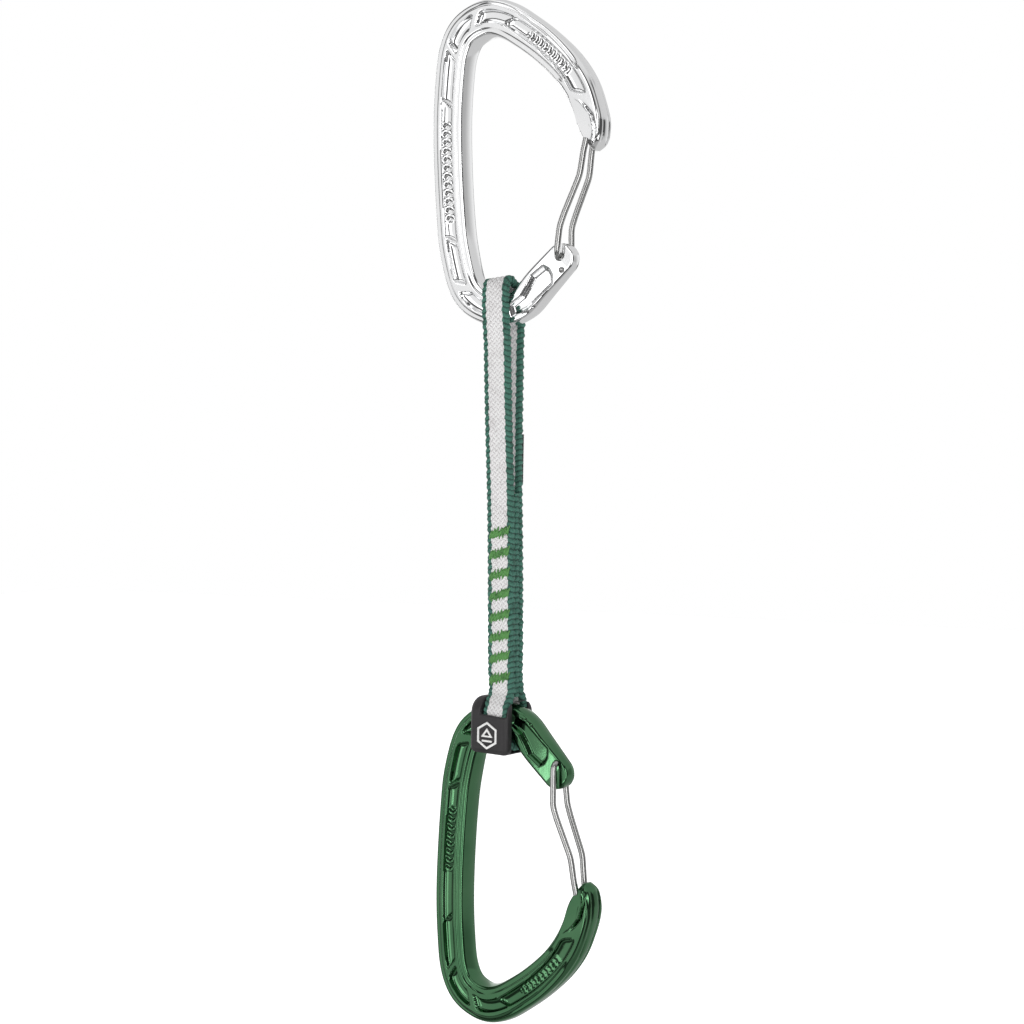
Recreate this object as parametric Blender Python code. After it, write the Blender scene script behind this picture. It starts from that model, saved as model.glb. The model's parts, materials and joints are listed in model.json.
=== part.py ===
"""A climbing quickdraw: two wire-gate carabiners joined by a short sewn tape sling.

Every length below is in millimetres; MM turns it into Blender's metres.
+Z is up and -Y is the front. The origin is the inner top of the upper carabiner, where it hangs.
"""

import math

import bmesh
import bpy
from mathutils import Matrix, Vector

MM = 0.001
GAP = 0.3
CUT_MARGIN = 1.0
BODY_SEGMENT = 3.4
LOOP_SEGMENT = 2.0
STRAND_SEGMENT = 9.0
LABEL_SEGMENT = 3.0
ARC_STEP = math.radians(22.0)
ARC_ROOM = 0.48
WIRE_SIDES = 12

# Where the two carabiners' sling bars lie, and how the lower one hangs.
UPPER_BAR_Z = -88.5
LOWER_BAR_Z = -204.9
LOWER_TWIST = math.radians(-7.0)
LOWER_LEAN = math.radians(2.2)

# Carabiner centreline, from the lug round the sling bar, up the spine and down to the nose.
# x from the sling's axis, height over the sling bar's outer edge, width, thickness, corner.
BODY_ROWS = (
    (20.8, 19.8, 10.2, 8.0, 1.1),
    (12.0, 12.3, 10.2, 7.4, 1.5),
    (6.8, 6.9, 10.0, 7.2, 2.0),
    (0.0, 5.0, 10.0, 7.2, 2.2),
    (-6.8, 6.6, 10.0, 7.2, 2.0),
    (-12.6, 11.2, 10.4, 7.2, 1.9),
    (-16.6, 23.7, 10.6, 7.6, 1.7),
    (-18.1, 36.0, 10.4, 7.6, 1.7),
    (-19.2, 62.0, 10.4, 7.6, 1.7),
    (-18.5, 76.0, 10.4, 7.6, 1.7),
    (-17.0, 86.2, 10.5, 7.6, 1.7),
    (-14.0, 91.8, 10.8, 7.6, 1.7),
    (-9.4, 94.5, 10.9, 7.6, 1.8),
    (-4.0, 95.5, 11.3, 7.6, 2.2),
    (2.0, 93.7, 11.0, 7.6, 2.2),
    (7.5, 90.3, 10.5, 7.6, 1.8),
    (14.4, 85.2, 10.1, 7.4, 1.6),
    (22.2, 77.8, 9.7, 7.4, 1.6),
    (26.8, 71.4, 9.0, 7.8, 1.5),
    (29.7, 64.9, 7.8, 8.4, 1.0),
    (30.9, 60.0, 7.3, 8.6, 0.8),
    (31.6, 56.6, 5.3, 8.6, 0.8),
)
NOSE_TIP_ROWS = (
    (31.8, 54.2, 3.6, 7.6, 0.8),
    (31.8, 52.8, 2.6, 6.2, 0.7),
    (31.7, 52.0, 1.6, 4.6, 0.5),
)
LUG_END_STEPS = 4
LUG_END_ANGLE = math.radians(82.0)
LUG_END_THINNING = 0.2
CHANNEL_FLOOR_SHARE = 0.62
CHANNEL_RAMP = 2.6
# Forged recesses on both faces: start and end beside the centreline, and depth.
CHANNELS = (
    ((8.2, 9.0), (15.2, 15.2), 1.1),
    ((-14.0, 15.5), (-17.0, 87.0), 1.7),
    ((-9.0, 94.9), (27.6, 69.0), 1.3),
)

# Wire gate: one bent wire whose two ends turn into the lug at different heights.
WIRE_RADIUS = 0.95
WIRE_CLEARANCE = 0.35
GATE_OPENING = math.radians(26.0)
SHORT_PIVOT = (20.8, 20.8)
LONG_PIVOT = (21.8, 16.2)
# x, height and distance from the middle plane, from above the lug up to the nose.
LEG_ROWS = (
    (21.3, 29.5, 3.75),
    (22.6, 33.4, 3.6),
    (27.6, 44.5, 3.1),
    (28.6, 51.6, 2.65),
    (29.4, 55.6, 2.3),
)
GATE_END_HEIGHT = 57.5
GATE_END_SHIFT = 0.2
LEG_OFFSET = 3.85
SHORT_STUB_END = 0.1
LONG_STUB_END = 1.3
STUB_BEND = 1.2
LEG_BEND = 5.0
RECESS_FLOOR = 2.5
HOLE_START = 3.0
HOLE_DEPTH = 0.5
LONG_LEG_SHIFT = 0.3
NOSE_POCKET_HALF = 3.6
NOSE_POCKET = ((26.0, 49.5), (30.2, 49.5), (30.3, 52.4), (30.8, 57.2), (30.3, 58.7), (26.0, 59.0))
SLOT_TOP = 31.0
STUB_MARK_RADIUS = 1.5
STUB_MARK_DEPTH = 0.8

# Tape sling.
TAPE_WIDTH = 8.8
TAPE_THICKNESS = 2.2
TAPE_EDGE = 0.3
STRAND_AT_BAR = 5.0
LAYER_PITCH = TAPE_THICKNESS + GAP
SEWN_TOP = -140.0
SEWN_BOTTOM = -200.8
UPPER_TURN_HEIGHT = 9.9
LOWER_TURN_HEIGHT = 8.8
LOOP_TURN_STEPS = 10
BASKET_CENTRE = 18.6
# Half spacing of the two strands and world height, between the flex gap and the sewn section.
STRAND_ROWS = ((3.9, -96.9), (3.2, -118.4), (LAYER_PITCH, SEWN_TOP))
# Half spacing and height over the bar's outer edge, just outside the bar.
LOOP_ROWS = ((STRAND_AT_BAR, 4.6), (4.35, -1.6), (3.95, -5.4))
LOWER_LOOP_ROWS = ((STRAND_AT_BAR, 4.4), (4.8, 1.5), (3.7, -0.8), (LAYER_PITCH, -2.3))

# Bartacks: thread bars sewn through all three layers.
BARTACK_COUNT = 8
BARTACK_TOP = -152.0
BARTACK_PITCH = 6.43
BARTACK_WIDTH = 6.4
BARTACK_HEIGHT = 2.5
BARTACK_WEB = 0.7
BARTACK_PROUD = 0.5
BARTACK_SLANT = math.radians(13.5)

LABEL_TOP = -121.4
LABEL_BOTTOM = -139.4
LABEL_WIDTH = 7.6
LABEL_THICKNESS = 0.6

# Rubber keeper over the lower loop.
KEEPER_HALF_WIDTH = 6.7
KEEPER_HALF_DEPTH = 7.3
KEEPER_EAR_TOP = -1.7
KEEPER_PLATE_TOP = 5.5
KEEPER_BOTTOM = 16.4
KEEPER_CORNER = 0.9
KEEPER_EAR_RADIUS = 5.0
KEEPER_FOOT_RADIUS = 1.8
BAR_HOLE = (4.1, -0.35, 15.0)
BADGE_RADIUS = 4.4
BADGE_LINE = 0.8
BADGE_PROUD = 0.3
BADGE_MIDDLE = 10.9


def clear_scene():
    for item in list(bpy.data.objects):
        bpy.data.objects.remove(item, do_unlink=True)


def material(name, colour, roughness, metallic):
    made = bpy.data.materials.new(name)
    made.use_nodes = True
    shader = made.node_tree.nodes["Principled BSDF"]
    shader.inputs["Base Color"].default_value = (*colour, 1.0)
    shader.inputs["Roughness"].default_value = roughness
    shader.inputs["Metallic"].default_value = metallic
    return made


def link(item, parent=None):
    bpy.context.scene.collection.objects.link(item)
    item.parent = parent
    return item


def empty(name, location, parent=None, turn=None):
    made = link(bpy.data.objects.new(name, None), parent)
    made.location = Vector(location) * MM
    made.empty_display_size = 5 * MM
    if turn is not None:
        made.rotation_euler = turn.to_euler()
    return made


def mesh_object(name, bm, finish, parent=None, smooth=40.0):
    """One object from a bmesh in millimetres, shaded smooth below the given angle."""
    bmesh.ops.scale(bm, vec=(MM, MM, MM), verts=bm.verts)
    bmesh.ops.recalc_face_normals(bm, faces=bm.faces)
    mesh = bpy.data.meshes.new(name)
    bm.to_mesh(mesh)
    bm.free()
    if finish is not None:
        mesh.materials.append(finish)
    mesh.shade_smooth()
    mesh.set_sharp_from_angle(angle=math.radians(smooth))
    return link(bpy.data.objects.new(name, mesh), parent)


def between(p, q, start, end, t):
    return p + (q - p) * ((t - start) / (end - start))


def catmull_rom(a, b, c, d, share):
    """The point this share of the way from b to c, on a centripetal curve."""
    t0 = 0.0
    t1 = t0 + math.sqrt((b - a).length)
    t2 = t1 + math.sqrt((c - b).length)
    t3 = t2 + math.sqrt((d - c).length)
    t = t1 + (t2 - t1) * share
    ab = between(a, b, t0, t1, t)
    bc = between(b, c, t1, t2, t)
    cd = between(c, d, t2, t3, t)
    return between(between(ab, bc, t0, t2, t), between(bc, cd, t1, t3, t), t1, t2, t)


def spline(rows, spacing):
    """Points on a smooth curve through the rows, about one spacing apart."""
    rows = [Vector(row) for row in rows]
    padded = [2 * rows[0] - rows[1], *rows, 2 * rows[-1] - rows[-2]]
    points = []
    for a, b, c, d in zip(padded, padded[1:], padded[2:], padded[3:]):
        steps = max(1, round((c - b).length / spacing))
        points += [catmull_rom(a, b, c, d, step / steps) for step in range(steps)]
    return points + [rows[-1]]


def rounded(corners, radii):
    """The corner points with each inner corner turned into an arc of its radius."""
    corners = [Vector(corner) for corner in corners]
    points = [corners[0]]
    for before, corner, after, radius in zip(corners, corners[1:], corners[2:], radii):
        incoming = (corner - before).normalized()
        outgoing = (after - corner).normalized()
        angle = incoming.angle(outgoing)
        room = ARC_ROOM * min((corner - before).length, (after - corner).length)
        reach = min(radius * math.tan(angle / 2), room)
        start = corner - incoming * reach
        steps = max(2, math.ceil(angle / ARC_STEP))
        inward = (outgoing - incoming).normalized()
        centre = corner + inward * (reach / math.sin(angle / 2))
        spoke = start - centre
        axis = incoming.cross(outgoing)
        for step in range(steps + 1):
            swing = Matrix.Rotation(angle * step / steps, 3, axis)
            points.append(centre + swing @ spoke)
    return points + [corners[-1]]


def loft(name, rings, finish, parent=None, smooth=40.0):
    """A closed solid through rings of equally many points, with a flat cap at each end."""
    bm = bmesh.new()
    loops = [[bm.verts.new(point) for point in ring] for ring in rings]
    for near, far in zip(loops, loops[1:]):
        for i in range(len(near)):
            j = (i + 1) % len(near)
            bm.faces.new((near[i], near[j], far[j], far[i]))
    bm.faces.new(loops[0])
    bm.faces.new(loops[-1])
    return mesh_object(name, bm, finish, parent, smooth)


def prism(name, outline, low, high, finish, parent):
    """An outline in x and z, extruded along y."""
    rings = [[(x, y, z) for x, z in outline] for y in (low, high)]
    return loft(name, rings, finish, parent, 30.0)


def hull_prism(name, points, low, high, parent):
    """The convex outline round a set of points in x and z, extruded along y."""
    bm = bmesh.new()
    verts = [bm.verts.new((x, y, z)) for x, z in points for y in (low, high)]
    made = bmesh.ops.convex_hull(bm, input=verts)
    spare = {item for item in made["geom_interior"] if isinstance(item, bmesh.types.BMVert)}
    bmesh.ops.delete(bm, geom=list(spare), context="VERTS")
    bmesh.ops.dissolve_limit(bm, angle_limit=0.01, verts=bm.verts, edges=bm.edges)
    return mesh_object(name, bm, None, parent)


def circle(centre, radius):
    turns = [2 * math.pi * (step + 0.5) / WIRE_SIDES for step in range(WIRE_SIDES)]
    return [(centre[0] + radius * math.cos(t), centre[1] + radius * math.sin(t)) for t in turns]


def cut(target, cutter):
    cutter.hide_render = True
    cutter.display_type = "WIRE"
    boolean = target.modifiers.new(cutter.name, "BOOLEAN")
    boolean.object = cutter
    boolean.operation = "DIFFERENCE"
    boolean.solver = "EXACT"


# ---- carabiner body ----


def body_section(width, thickness, corner, depth):
    """Half the body's cross-section, from its outer edge to its inner edge."""
    half = width / 2
    deep = thickness / 2
    soft = corner * (1 - math.sqrt(0.5))
    floor = CHANNEL_FLOOR_SHARE * (half - corner)
    return (
        (half, deep - corner),
        (half - soft, deep - soft),
        (half - corner, deep),
        (floor, deep - depth),
        (-floor, deep - depth),
        (corner - half, deep),
        (soft - half, deep - soft),
        (-half, deep - corner),
    )


def lug_end_rows(first, second):
    """Rows that round off the lug, outermost first."""
    x, z, width, thickness, corner = first
    back = (Vector((x, z)) - Vector((second[0], second[1]))).normalized()
    rows = []
    for step in range(LUG_END_STEPS, 0, -1):
        share = step / LUG_END_STEPS
        swing = LUG_END_ANGLE * share
        centre = Vector((x, z)) + back * (width / 2 * math.sin(swing))
        narrow = width * math.cos(swing)
        thin = thickness * (1 - LUG_END_THINNING * share**3)
        rows.append((*centre, narrow, thin, min(corner, narrow / 3)))
    return rows


def channel_depth(place, zones):
    depth = 0.0
    for start, end, deep in zones:
        inside = min(place - start, end - place) / CHANNEL_RAMP
        depth += deep * min(max(inside, 0.0), 1.0)
    return depth


def body_rings():
    middle = spline(BODY_ROWS + NOSE_TIP_ROWS, BODY_SEGMENT)
    rows = lug_end_rows(BODY_ROWS[0], BODY_ROWS[1]) + [tuple(row) for row in middle]
    path = [Vector((row[0], row[1])) for row in rows]
    places = [0.0]
    for here, there in zip(path, path[1:]):
        places.append(places[-1] + (there - here).length)

    def place_of(point):
        return min(zip(path, places), key=lambda pair: (pair[0] - Vector(point)).length)[1]

    zones = [(place_of(start), place_of(end), deep) for start, end, deep in CHANNELS]
    rings = []
    for i, row in enumerate(rows):
        along = (path[min(i + 1, len(path) - 1)] - path[max(i - 1, 0)]).normalized()
        outward = Vector((-along.y, along.x))
        half = body_section(*row[2:], channel_depth(places[i], zones))
        around = [(n, -y) for n, y in half] + [(n, y) for n, y in reversed(half)]
        rings.append(
            [(row[0] + n * outward.x, y, row[1] + n * outward.y) for n, y in around]
        )
    return rings


def opened(point, share):
    """Where a point in x and z goes as the gate opens inward by this share."""
    x = point[0] - SHORT_PIVOT[0]
    z = point[1] - SHORT_PIVOT[1]
    swing = GATE_OPENING * share
    turned_x = x * math.cos(swing) - z * math.sin(swing)
    turned_z = x * math.sin(swing) + z * math.cos(swing)
    return (SHORT_PIVOT[0] + turned_x, SHORT_PIVOT[1] + turned_z)


def swept(points, shares=(0.0, 0.5, 1.0)):
    """Outline points of wire round each point, in the gate's closed to open places."""
    radius = WIRE_RADIUS + WIRE_CLEARANCE
    outline = []
    for point in points:
        for share in shares:
            outline += circle(opened(point, share), radius)
    return outline


def carabiner(side, frame, finish):
    body = loft(f"{side}_carabiner_body", body_rings(), finish, frame)
    past = BODY_ROWS[0][3] / 2 + CUT_MARGIN
    leg_top = (LEG_ROWS[0][0], SLOT_TOP)
    long_middle = (LEG_ROWS[0][0] + LONG_LEG_SHIFT, SHORT_PIVOT[1])
    short_end = SHORT_STUB_END + HOLE_DEPTH
    long_end = LONG_STUB_END - HOLE_DEPTH
    mark_floor = STUB_MARK_DEPTH - BODY_ROWS[0][3] / 2
    cut(body, prism(f"{side}_nose_pocket", NOSE_POCKET, -NOSE_POCKET_HALF, NOSE_POCKET_HALF, None, frame))
    for name, outline, low, high in (
        ("short_slot", swept((SHORT_PIVOT, leg_top)), -past, -RECESS_FLOOR),
        ("short_hole", swept((SHORT_PIVOT,), (0.0,)), -HOLE_START, short_end),
        ("long_slot_top", swept((long_middle, leg_top)), RECESS_FLOOR, past),
        ("long_slot_low", swept((LONG_PIVOT, long_middle)), RECESS_FLOOR, past),
        ("long_hole", swept((LONG_PIVOT,)), long_end, HOLE_START),
        ("stub_mark", circle(LONG_PIVOT, STUB_MARK_RADIUS), -past, mark_floor),
    ):
        cut(body, hull_prism(f"{side}_{name}", outline, low, high, frame))


# ---- wire gate ----


def wire_gate(side, frame, finish):
    hinge = empty(f"{side}_gate_hinge", (SHORT_PIVOT[0], 0, SHORT_PIVOT[1]), frame)
    front = [(x, -y, z) for x, z, y in LEG_ROWS]
    end_x, _, end_y = LEG_ROWS[-1]
    back = [(x, y, z) for x, z, y in reversed(LEG_ROWS)]
    corners = [
        (SHORT_PIVOT[0], SHORT_STUB_END, SHORT_PIVOT[1]),
        (SHORT_PIVOT[0], -LEG_OFFSET, SHORT_PIVOT[1]),
        *front,
        (end_x + GATE_END_SHIFT, -end_y, GATE_END_HEIGHT),
        (end_x + GATE_END_SHIFT, end_y, GATE_END_HEIGHT),
        *back,
        (LONG_PIVOT[0], LEG_OFFSET, LONG_PIVOT[1]),
        (LONG_PIVOT[0], LONG_STUB_END, LONG_PIVOT[1]),
    ]
    legs = [LEG_BEND] * len(front)
    radii = [STUB_BEND, *legs, end_y, end_y, *legs, STUB_BEND]
    curve = bpy.data.curves.new(f"{side}_wire_gate", "CURVE")
    curve.dimensions = "3D"
    curve.bevel_depth = WIRE_RADIUS * MM
    curve.bevel_resolution = 2
    curve.use_fill_caps = True
    line = curve.splines.new("POLY")
    points = [point - Vector((SHORT_PIVOT[0], 0, SHORT_PIVOT[1])) for point in rounded(corners, radii)]
    line.points.add(len(points) - 1)
    for spot, point in zip(line.points, points):
        spot.co = (*(point * MM), 1.0)
    curve.materials.append(finish)
    return link(bpy.data.objects.new(f"{side}_wire_gate", curve), hinge)


# ---- tape sling ----


def tape_section(width, thickness):
    """A flat section with its four corners cut off, as points across and through the tape."""
    edge = TAPE_EDGE * thickness
    half = width / 2
    deep = thickness / 2
    return (
        (half - edge, -deep),
        (half, edge - deep),
        (half, deep - edge),
        (half - edge, deep),
        (edge - half, deep),
        (-half, deep - edge),
        (-half, edge - deep),
        (edge - half, -deep),
    )


def tape(name, path, width, thickness, finish, parent=None):
    """A flat tape whose centreline runs through points of y and z."""
    path = [Vector(point) for point in path]
    rings = []
    for i, point in enumerate(path):
        along = (path[min(i + 1, len(path) - 1)] - path[max(i - 1, 0)]).normalized()
        across = Vector((-along.y, along.x))
        rings.append(
            [
                (x, point.x + n * across.x, point.y + n * across.y)
                for x, n in tape_section(width, thickness)
            ]
        )
    return loft(name, rings, finish, parent)


def loop_path(rows, turn_height):
    """Centreline of a loop round the sling bar, in y and height over the bar's outer edge."""
    over = [
        (
            -STRAND_AT_BAR * math.cos(math.pi * step / LOOP_TURN_STEPS),
            turn_height + STRAND_AT_BAR * math.sin(math.pi * step / LOOP_TURN_STEPS),
        )
        for step in range(LOOP_TURN_STEPS + 1)
    ]
    strand = spline(rows, LOOP_SEGMENT)
    front = [(-y, z) for y, z in reversed(strand)]
    back = [(y, z) for y, z in strand]
    return front + over + back


def outer_layer(name, side, finish):
    """The front (-1) or back (+1) strand, from the upper flex gap to the end of the sewing."""
    strand = spline((*STRAND_ROWS, (LAYER_PITCH, SEWN_BOTTOM)), STRAND_SEGMENT)
    return tape(name, [(side * y, z) for y, z in strand], TAPE_WIDTH, TAPE_THICKNESS, finish)


def bartack_heights():
    return [BARTACK_TOP - BARTACK_PITCH * step for step in range(BARTACK_COUNT)]


def bartack_outline(grow):
    """An upright I section in y and z: two pads joined by a web, grown by a clearance."""
    web = BARTACK_WEB / 2 + grow
    pad = BARTACK_HEIGHT / 2
    inner = LAYER_PITCH + TAPE_THICKNESS / 2 + GAP
    outer = inner + BARTACK_PROUD
    if grow:
        return ((-outer, -web), (outer, -web), (outer, web), (-outer, web))
    return (
        (-outer, -pad),
        (-inner, -pad),
        (-inner, -web),
        (inner, -web),
        (inner, -pad),
        (outer, -pad),
        (outer, pad),
        (inner, pad),
        (inner, web),
        (-inner, web),
        (-inner, pad),
        (-outer, pad),
    )


def bartack(name, height, finish, grow=0.0):
    """One bar of thread through all three layers, or the slot that it needs."""
    half = BARTACK_WIDTH / 2 + grow
    rings = [[(x, y, z) for y, z in bartack_outline(grow)] for x in (-half, half)]
    made = loft(name, rings, finish, None, 30.0)
    made.location = (0, 0, height * MM)
    made.rotation_euler = (0, -BARTACK_SLANT, 0)
    return made


def sewn_section(tape_finish, thread_finish, label_finish):
    layers = [
        outer_layer("sling_front_layer", -1, tape_finish),
        tape(
            "sling_middle_layer",
            [(0, SEWN_TOP), (0, SEWN_BOTTOM)],
            TAPE_WIDTH,
            TAPE_THICKNESS,
            tape_finish,
        ),
        outer_layer("sling_back_layer", 1, tape_finish),
    ]
    for number, height in enumerate(bartack_heights(), 1):
        bartack(f"bartack_{number}", height, thread_finish)
        slot = bartack(f"bartack_slot_{number}", height, None, GAP)
        for layer in layers:
            cut(layer, slot)
    offset = TAPE_THICKNESS / 2 + GAP + LABEL_THICKNESS / 2
    strand = spline(STRAND_ROWS, LABEL_SEGMENT)
    strand = [point for point in strand if LABEL_BOTTOM < point.y < LABEL_TOP]
    tape(
        "sewn_label",
        [(point.x + offset, point.y) for point in strand],
        LABEL_WIDTH,
        LABEL_THICKNESS,
        label_finish,
    )


# ---- rubber keeper ----


def keeper(frame, rubber, badge_finish):
    width, depth = KEEPER_HALF_WIDTH, KEEPER_HALF_DEPTH
    outline = rounded(
        (
            (0, KEEPER_EAR_TOP, 0),
            (width, KEEPER_EAR_TOP, 0),
            (width, KEEPER_BOTTOM, 0),
            (-width, KEEPER_BOTTOM, 0),
            (-width, KEEPER_EAR_TOP, 0),
            (-CUT_MARGIN, KEEPER_EAR_TOP, 0),
        ),
        (KEEPER_EAR_RADIUS, KEEPER_FOOT_RADIUS, KEEPER_FOOT_RADIUS, KEEPER_EAR_RADIUS),
    )
    body = prism("rubber_keeper", [(x, z) for x, z, _ in outline], -depth, depth, rubber, frame)
    bevel = body.modifiers.new("soft corners", "BEVEL")
    bevel.width = KEEPER_CORNER * MM
    bevel.segments = 2
    bevel.limit_method = "ANGLE"
    bevel.angle_limit = math.radians(60)
    inside = TAPE_WIDTH / 2 + GAP
    clear = STRAND_AT_BAR + TAPE_THICKNESS / 2 + GAP
    arch = [
        (
            -clear * math.cos(math.pi * step / LOOP_TURN_STEPS),
            LOWER_TURN_HEIGHT + clear * math.sin(math.pi * step / LOOP_TURN_STEPS),
        )
        for step in range(LOOP_TURN_STEPS + 1)
    ]
    well = [(-clear, KEEPER_EAR_TOP - depth), *arch, (clear, KEEPER_EAR_TOP - depth)]
    rings = [[(x, y, z) for y, z in well] for x in (-inside, inside)]
    cut(body, loft("keeper_tape_well", rings, None, frame))
    high = KEEPER_EAR_TOP - depth
    window = (
        (-inside, high),
        (inside, high),
        (inside, KEEPER_PLATE_TOP),
        (-inside, KEEPER_PLATE_TOP),
    )
    cut(body, prism("keeper_tape_window", window, -depth - CUT_MARGIN, depth + CUT_MARGIN, None, frame))
    bar_depth, bar_top, bar_bottom = BAR_HOLE
    beyond = width + CUT_MARGIN
    hole = ((-beyond, bar_top), (beyond, bar_top), (beyond, bar_bottom), (-beyond, bar_bottom))
    cut(body, prism("keeper_bar_hole", hole, -bar_depth, bar_depth, None, frame))
    face = depth + GAP
    badge = prism(
        "keeper_badge",
        hexagon(BADGE_RADIUS),
        face,
        face + BADGE_PROUD,
        badge_finish,
        frame,
    )
    middle = hexagon(BADGE_RADIUS - BADGE_LINE)
    cut(badge, prism("badge_middle", middle, face - CUT_MARGIN, face + CUT_MARGIN, None, frame))


def hexagon(radius):
    turns = [math.pi * (step / 3 + 1 / 6) for step in range(6)]
    return [(radius * math.cos(t), BADGE_MIDDLE + radius * math.sin(t)) for t in turns]


# ---- assembly ----


def main():
    clear_scene()
    polished = material("polished aluminium", (0.82, 0.83, 0.84), 0.16, 1.0)
    anodised = material("green anodised aluminium", (0.09, 0.32, 0.13), 0.22, 1.0)
    steel = material("stainless wire", (0.55, 0.54, 0.52), 0.25, 1.0)
    tape_finish = material("woven polyethylene tape", (0.80, 0.78, 0.78), 0.8, 0.0)
    thread = material("green thread", (0.08, 0.36, 0.09), 0.6, 0.0)
    label_finish = material("black label", (0.02, 0.02, 0.02), 0.7, 0.0)
    rubber = material("black rubber", (0.03, 0.03, 0.03), 0.55, 0.0)
    mark = material("white mark", (0.80, 0.80, 0.78), 0.5, 0.0)

    upper = empty("upper_frame", (0, 0, UPPER_BAR_Z))
    carabiner("upper", upper, polished)
    wire_gate("upper", upper, steel)
    upper_turn = empty("upper_loop_turn", (0, 0, BASKET_CENTRE), upper)
    upper_loop = tape(
        "sling_upper_loop",
        loop_path(LOOP_ROWS, UPPER_TURN_HEIGHT),
        TAPE_WIDTH,
        TAPE_THICKNESS,
        tape_finish,
    )
    upper_loop.parent = upper_turn
    upper_loop.location = (0, 0, -BASKET_CENTRE * MM)

    sewn_section(tape_finish, thread, label_finish)

    upside_down = Matrix.Rotation(math.pi, 3, "X")
    lean = Matrix.Rotation(LOWER_LEAN, 3, "Y")
    twist = Matrix.Rotation(LOWER_TWIST, 3, "Z")
    turn = twist @ lean @ upside_down
    lower_turn = empty("lower_turn", (0, 0, LOWER_BAR_Z - BASKET_CENTRE), turn=turn)
    lower = empty("lower_frame", (0, 0, -BASKET_CENTRE), lower_turn)
    carabiner("lower", lower, anodised)
    wire_gate("lower", lower, steel)
    tape(
        "sling_lower_loop",
        loop_path(LOWER_LOOP_ROWS, LOWER_TURN_HEIGHT),
        TAPE_WIDTH,
        TAPE_THICKNESS,
        tape_finish,
        lower,
    )
    keeper(lower, rubber, mark)
    bpy.context.view_layer.update()


main()
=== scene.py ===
"""Looks of the climbing quickdraw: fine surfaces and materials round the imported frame.

Sizes are in millimetres; MM turns them into metres. A carabiner is made in its own frame: x from
the sling's axis, y from its front to its back, v the height over the sling bar's outer edge.
"""

import json
import math

import bmesh
import bpy
import numpy as np
from mathutils import Matrix, Vector


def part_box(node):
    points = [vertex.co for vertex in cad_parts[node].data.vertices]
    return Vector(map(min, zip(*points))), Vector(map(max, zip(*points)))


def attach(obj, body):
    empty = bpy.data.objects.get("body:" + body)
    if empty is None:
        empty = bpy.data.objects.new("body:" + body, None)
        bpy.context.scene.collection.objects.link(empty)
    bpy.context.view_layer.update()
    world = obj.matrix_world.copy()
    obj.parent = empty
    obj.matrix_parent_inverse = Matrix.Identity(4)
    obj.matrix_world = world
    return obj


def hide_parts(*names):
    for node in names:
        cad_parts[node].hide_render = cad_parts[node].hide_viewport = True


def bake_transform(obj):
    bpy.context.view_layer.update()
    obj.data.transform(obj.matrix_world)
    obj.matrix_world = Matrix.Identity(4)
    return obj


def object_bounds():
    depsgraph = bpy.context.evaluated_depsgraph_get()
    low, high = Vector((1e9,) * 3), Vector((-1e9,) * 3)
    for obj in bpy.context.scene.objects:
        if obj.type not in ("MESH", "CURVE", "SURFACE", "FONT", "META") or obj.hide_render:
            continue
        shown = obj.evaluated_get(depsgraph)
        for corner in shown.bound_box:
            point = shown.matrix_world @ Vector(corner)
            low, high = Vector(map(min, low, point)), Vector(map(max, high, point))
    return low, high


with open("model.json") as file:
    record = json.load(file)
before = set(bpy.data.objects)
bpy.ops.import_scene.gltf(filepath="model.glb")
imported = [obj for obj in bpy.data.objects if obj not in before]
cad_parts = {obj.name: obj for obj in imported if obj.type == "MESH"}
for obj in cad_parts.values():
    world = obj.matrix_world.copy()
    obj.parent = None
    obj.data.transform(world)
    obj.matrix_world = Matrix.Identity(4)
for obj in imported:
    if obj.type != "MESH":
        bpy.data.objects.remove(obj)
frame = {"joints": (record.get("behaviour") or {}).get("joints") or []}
cad_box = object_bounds()
joints = {joint["name"]: joint for joint in frame["joints"]}
MM = 0.001

# ---- carabiner ----
# x, v, width, thickness and corner radius along the body, from the lug to the nose.
BODY_ROWS = (
    (20.1, 19.7, 10.1, 4.7, 0.9),
    (12.1, 12.2, 10.5, 6.3, 1.2),
    (6.8, 6.9, 10.4, 7.0, 1.8),
    (0.0, 5.0, 10.4, 7.2, 2.2),
    (-6.8, 6.6, 10.6, 7.2, 2.0),
    (-12.6, 11.2, 11.2, 7.4, 1.8),
    (-16.6, 23.7, 11.4, 8.0, 1.6),
    (-18.1, 36.0, 11.2, 8.0, 1.6),
    (-19.2, 62.0, 11.2, 8.0, 1.6),
    (-18.5, 76.0, 11.2, 8.0, 1.6),
    (-17.0, 86.2, 11.3, 8.0, 1.6),
    (-14.0, 91.8, 11.5, 8.0, 1.7),
    (-9.4, 94.5, 11.6, 8.0, 1.8),
    (-4.0, 95.5, 11.8, 8.0, 2.2),
    (2.0, 93.7, 11.6, 8.0, 2.2),
    (7.5, 90.3, 11.2, 8.0, 1.8),
    (14.4, 85.2, 10.9, 7.9, 1.6),
    (22.2, 77.8, 10.5, 8.0, 1.6),
    (26.8, 71.4, 10.0, 8.4, 1.5),
    (29.7, 64.9, 9.0, 8.8, 1.3),
    (31.0, 60.0, 8.9, 8.8, 1.5),
    (31.7, 56.6, 7.2, 8.6, 1.5),
    (31.9, 54.6, 5.8, 7.8, 1.5),
    (31.9, 53.2, 4.8, 6.8, 1.3),
    (31.7, 52.2, 3.0, 5.0, 0.9),
    (31.6, 51.8, 1.4, 3.0, 0.4),
)
RING_PITCH = 0.2
FINE_LENGTH = 26.0
END_SAMPLE = 16
PATH_SOFTNESS = 1.5
LUG_END_RINGS = 22
LUG_END_ANGLE = math.radians(88.0)
SIDE_CROWN = 0.22
FACE_POINTS = 34
CORNER_POINTS = 7
SIDE_POINTS = 8
BASKET_CENTRE = 18.6

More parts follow.
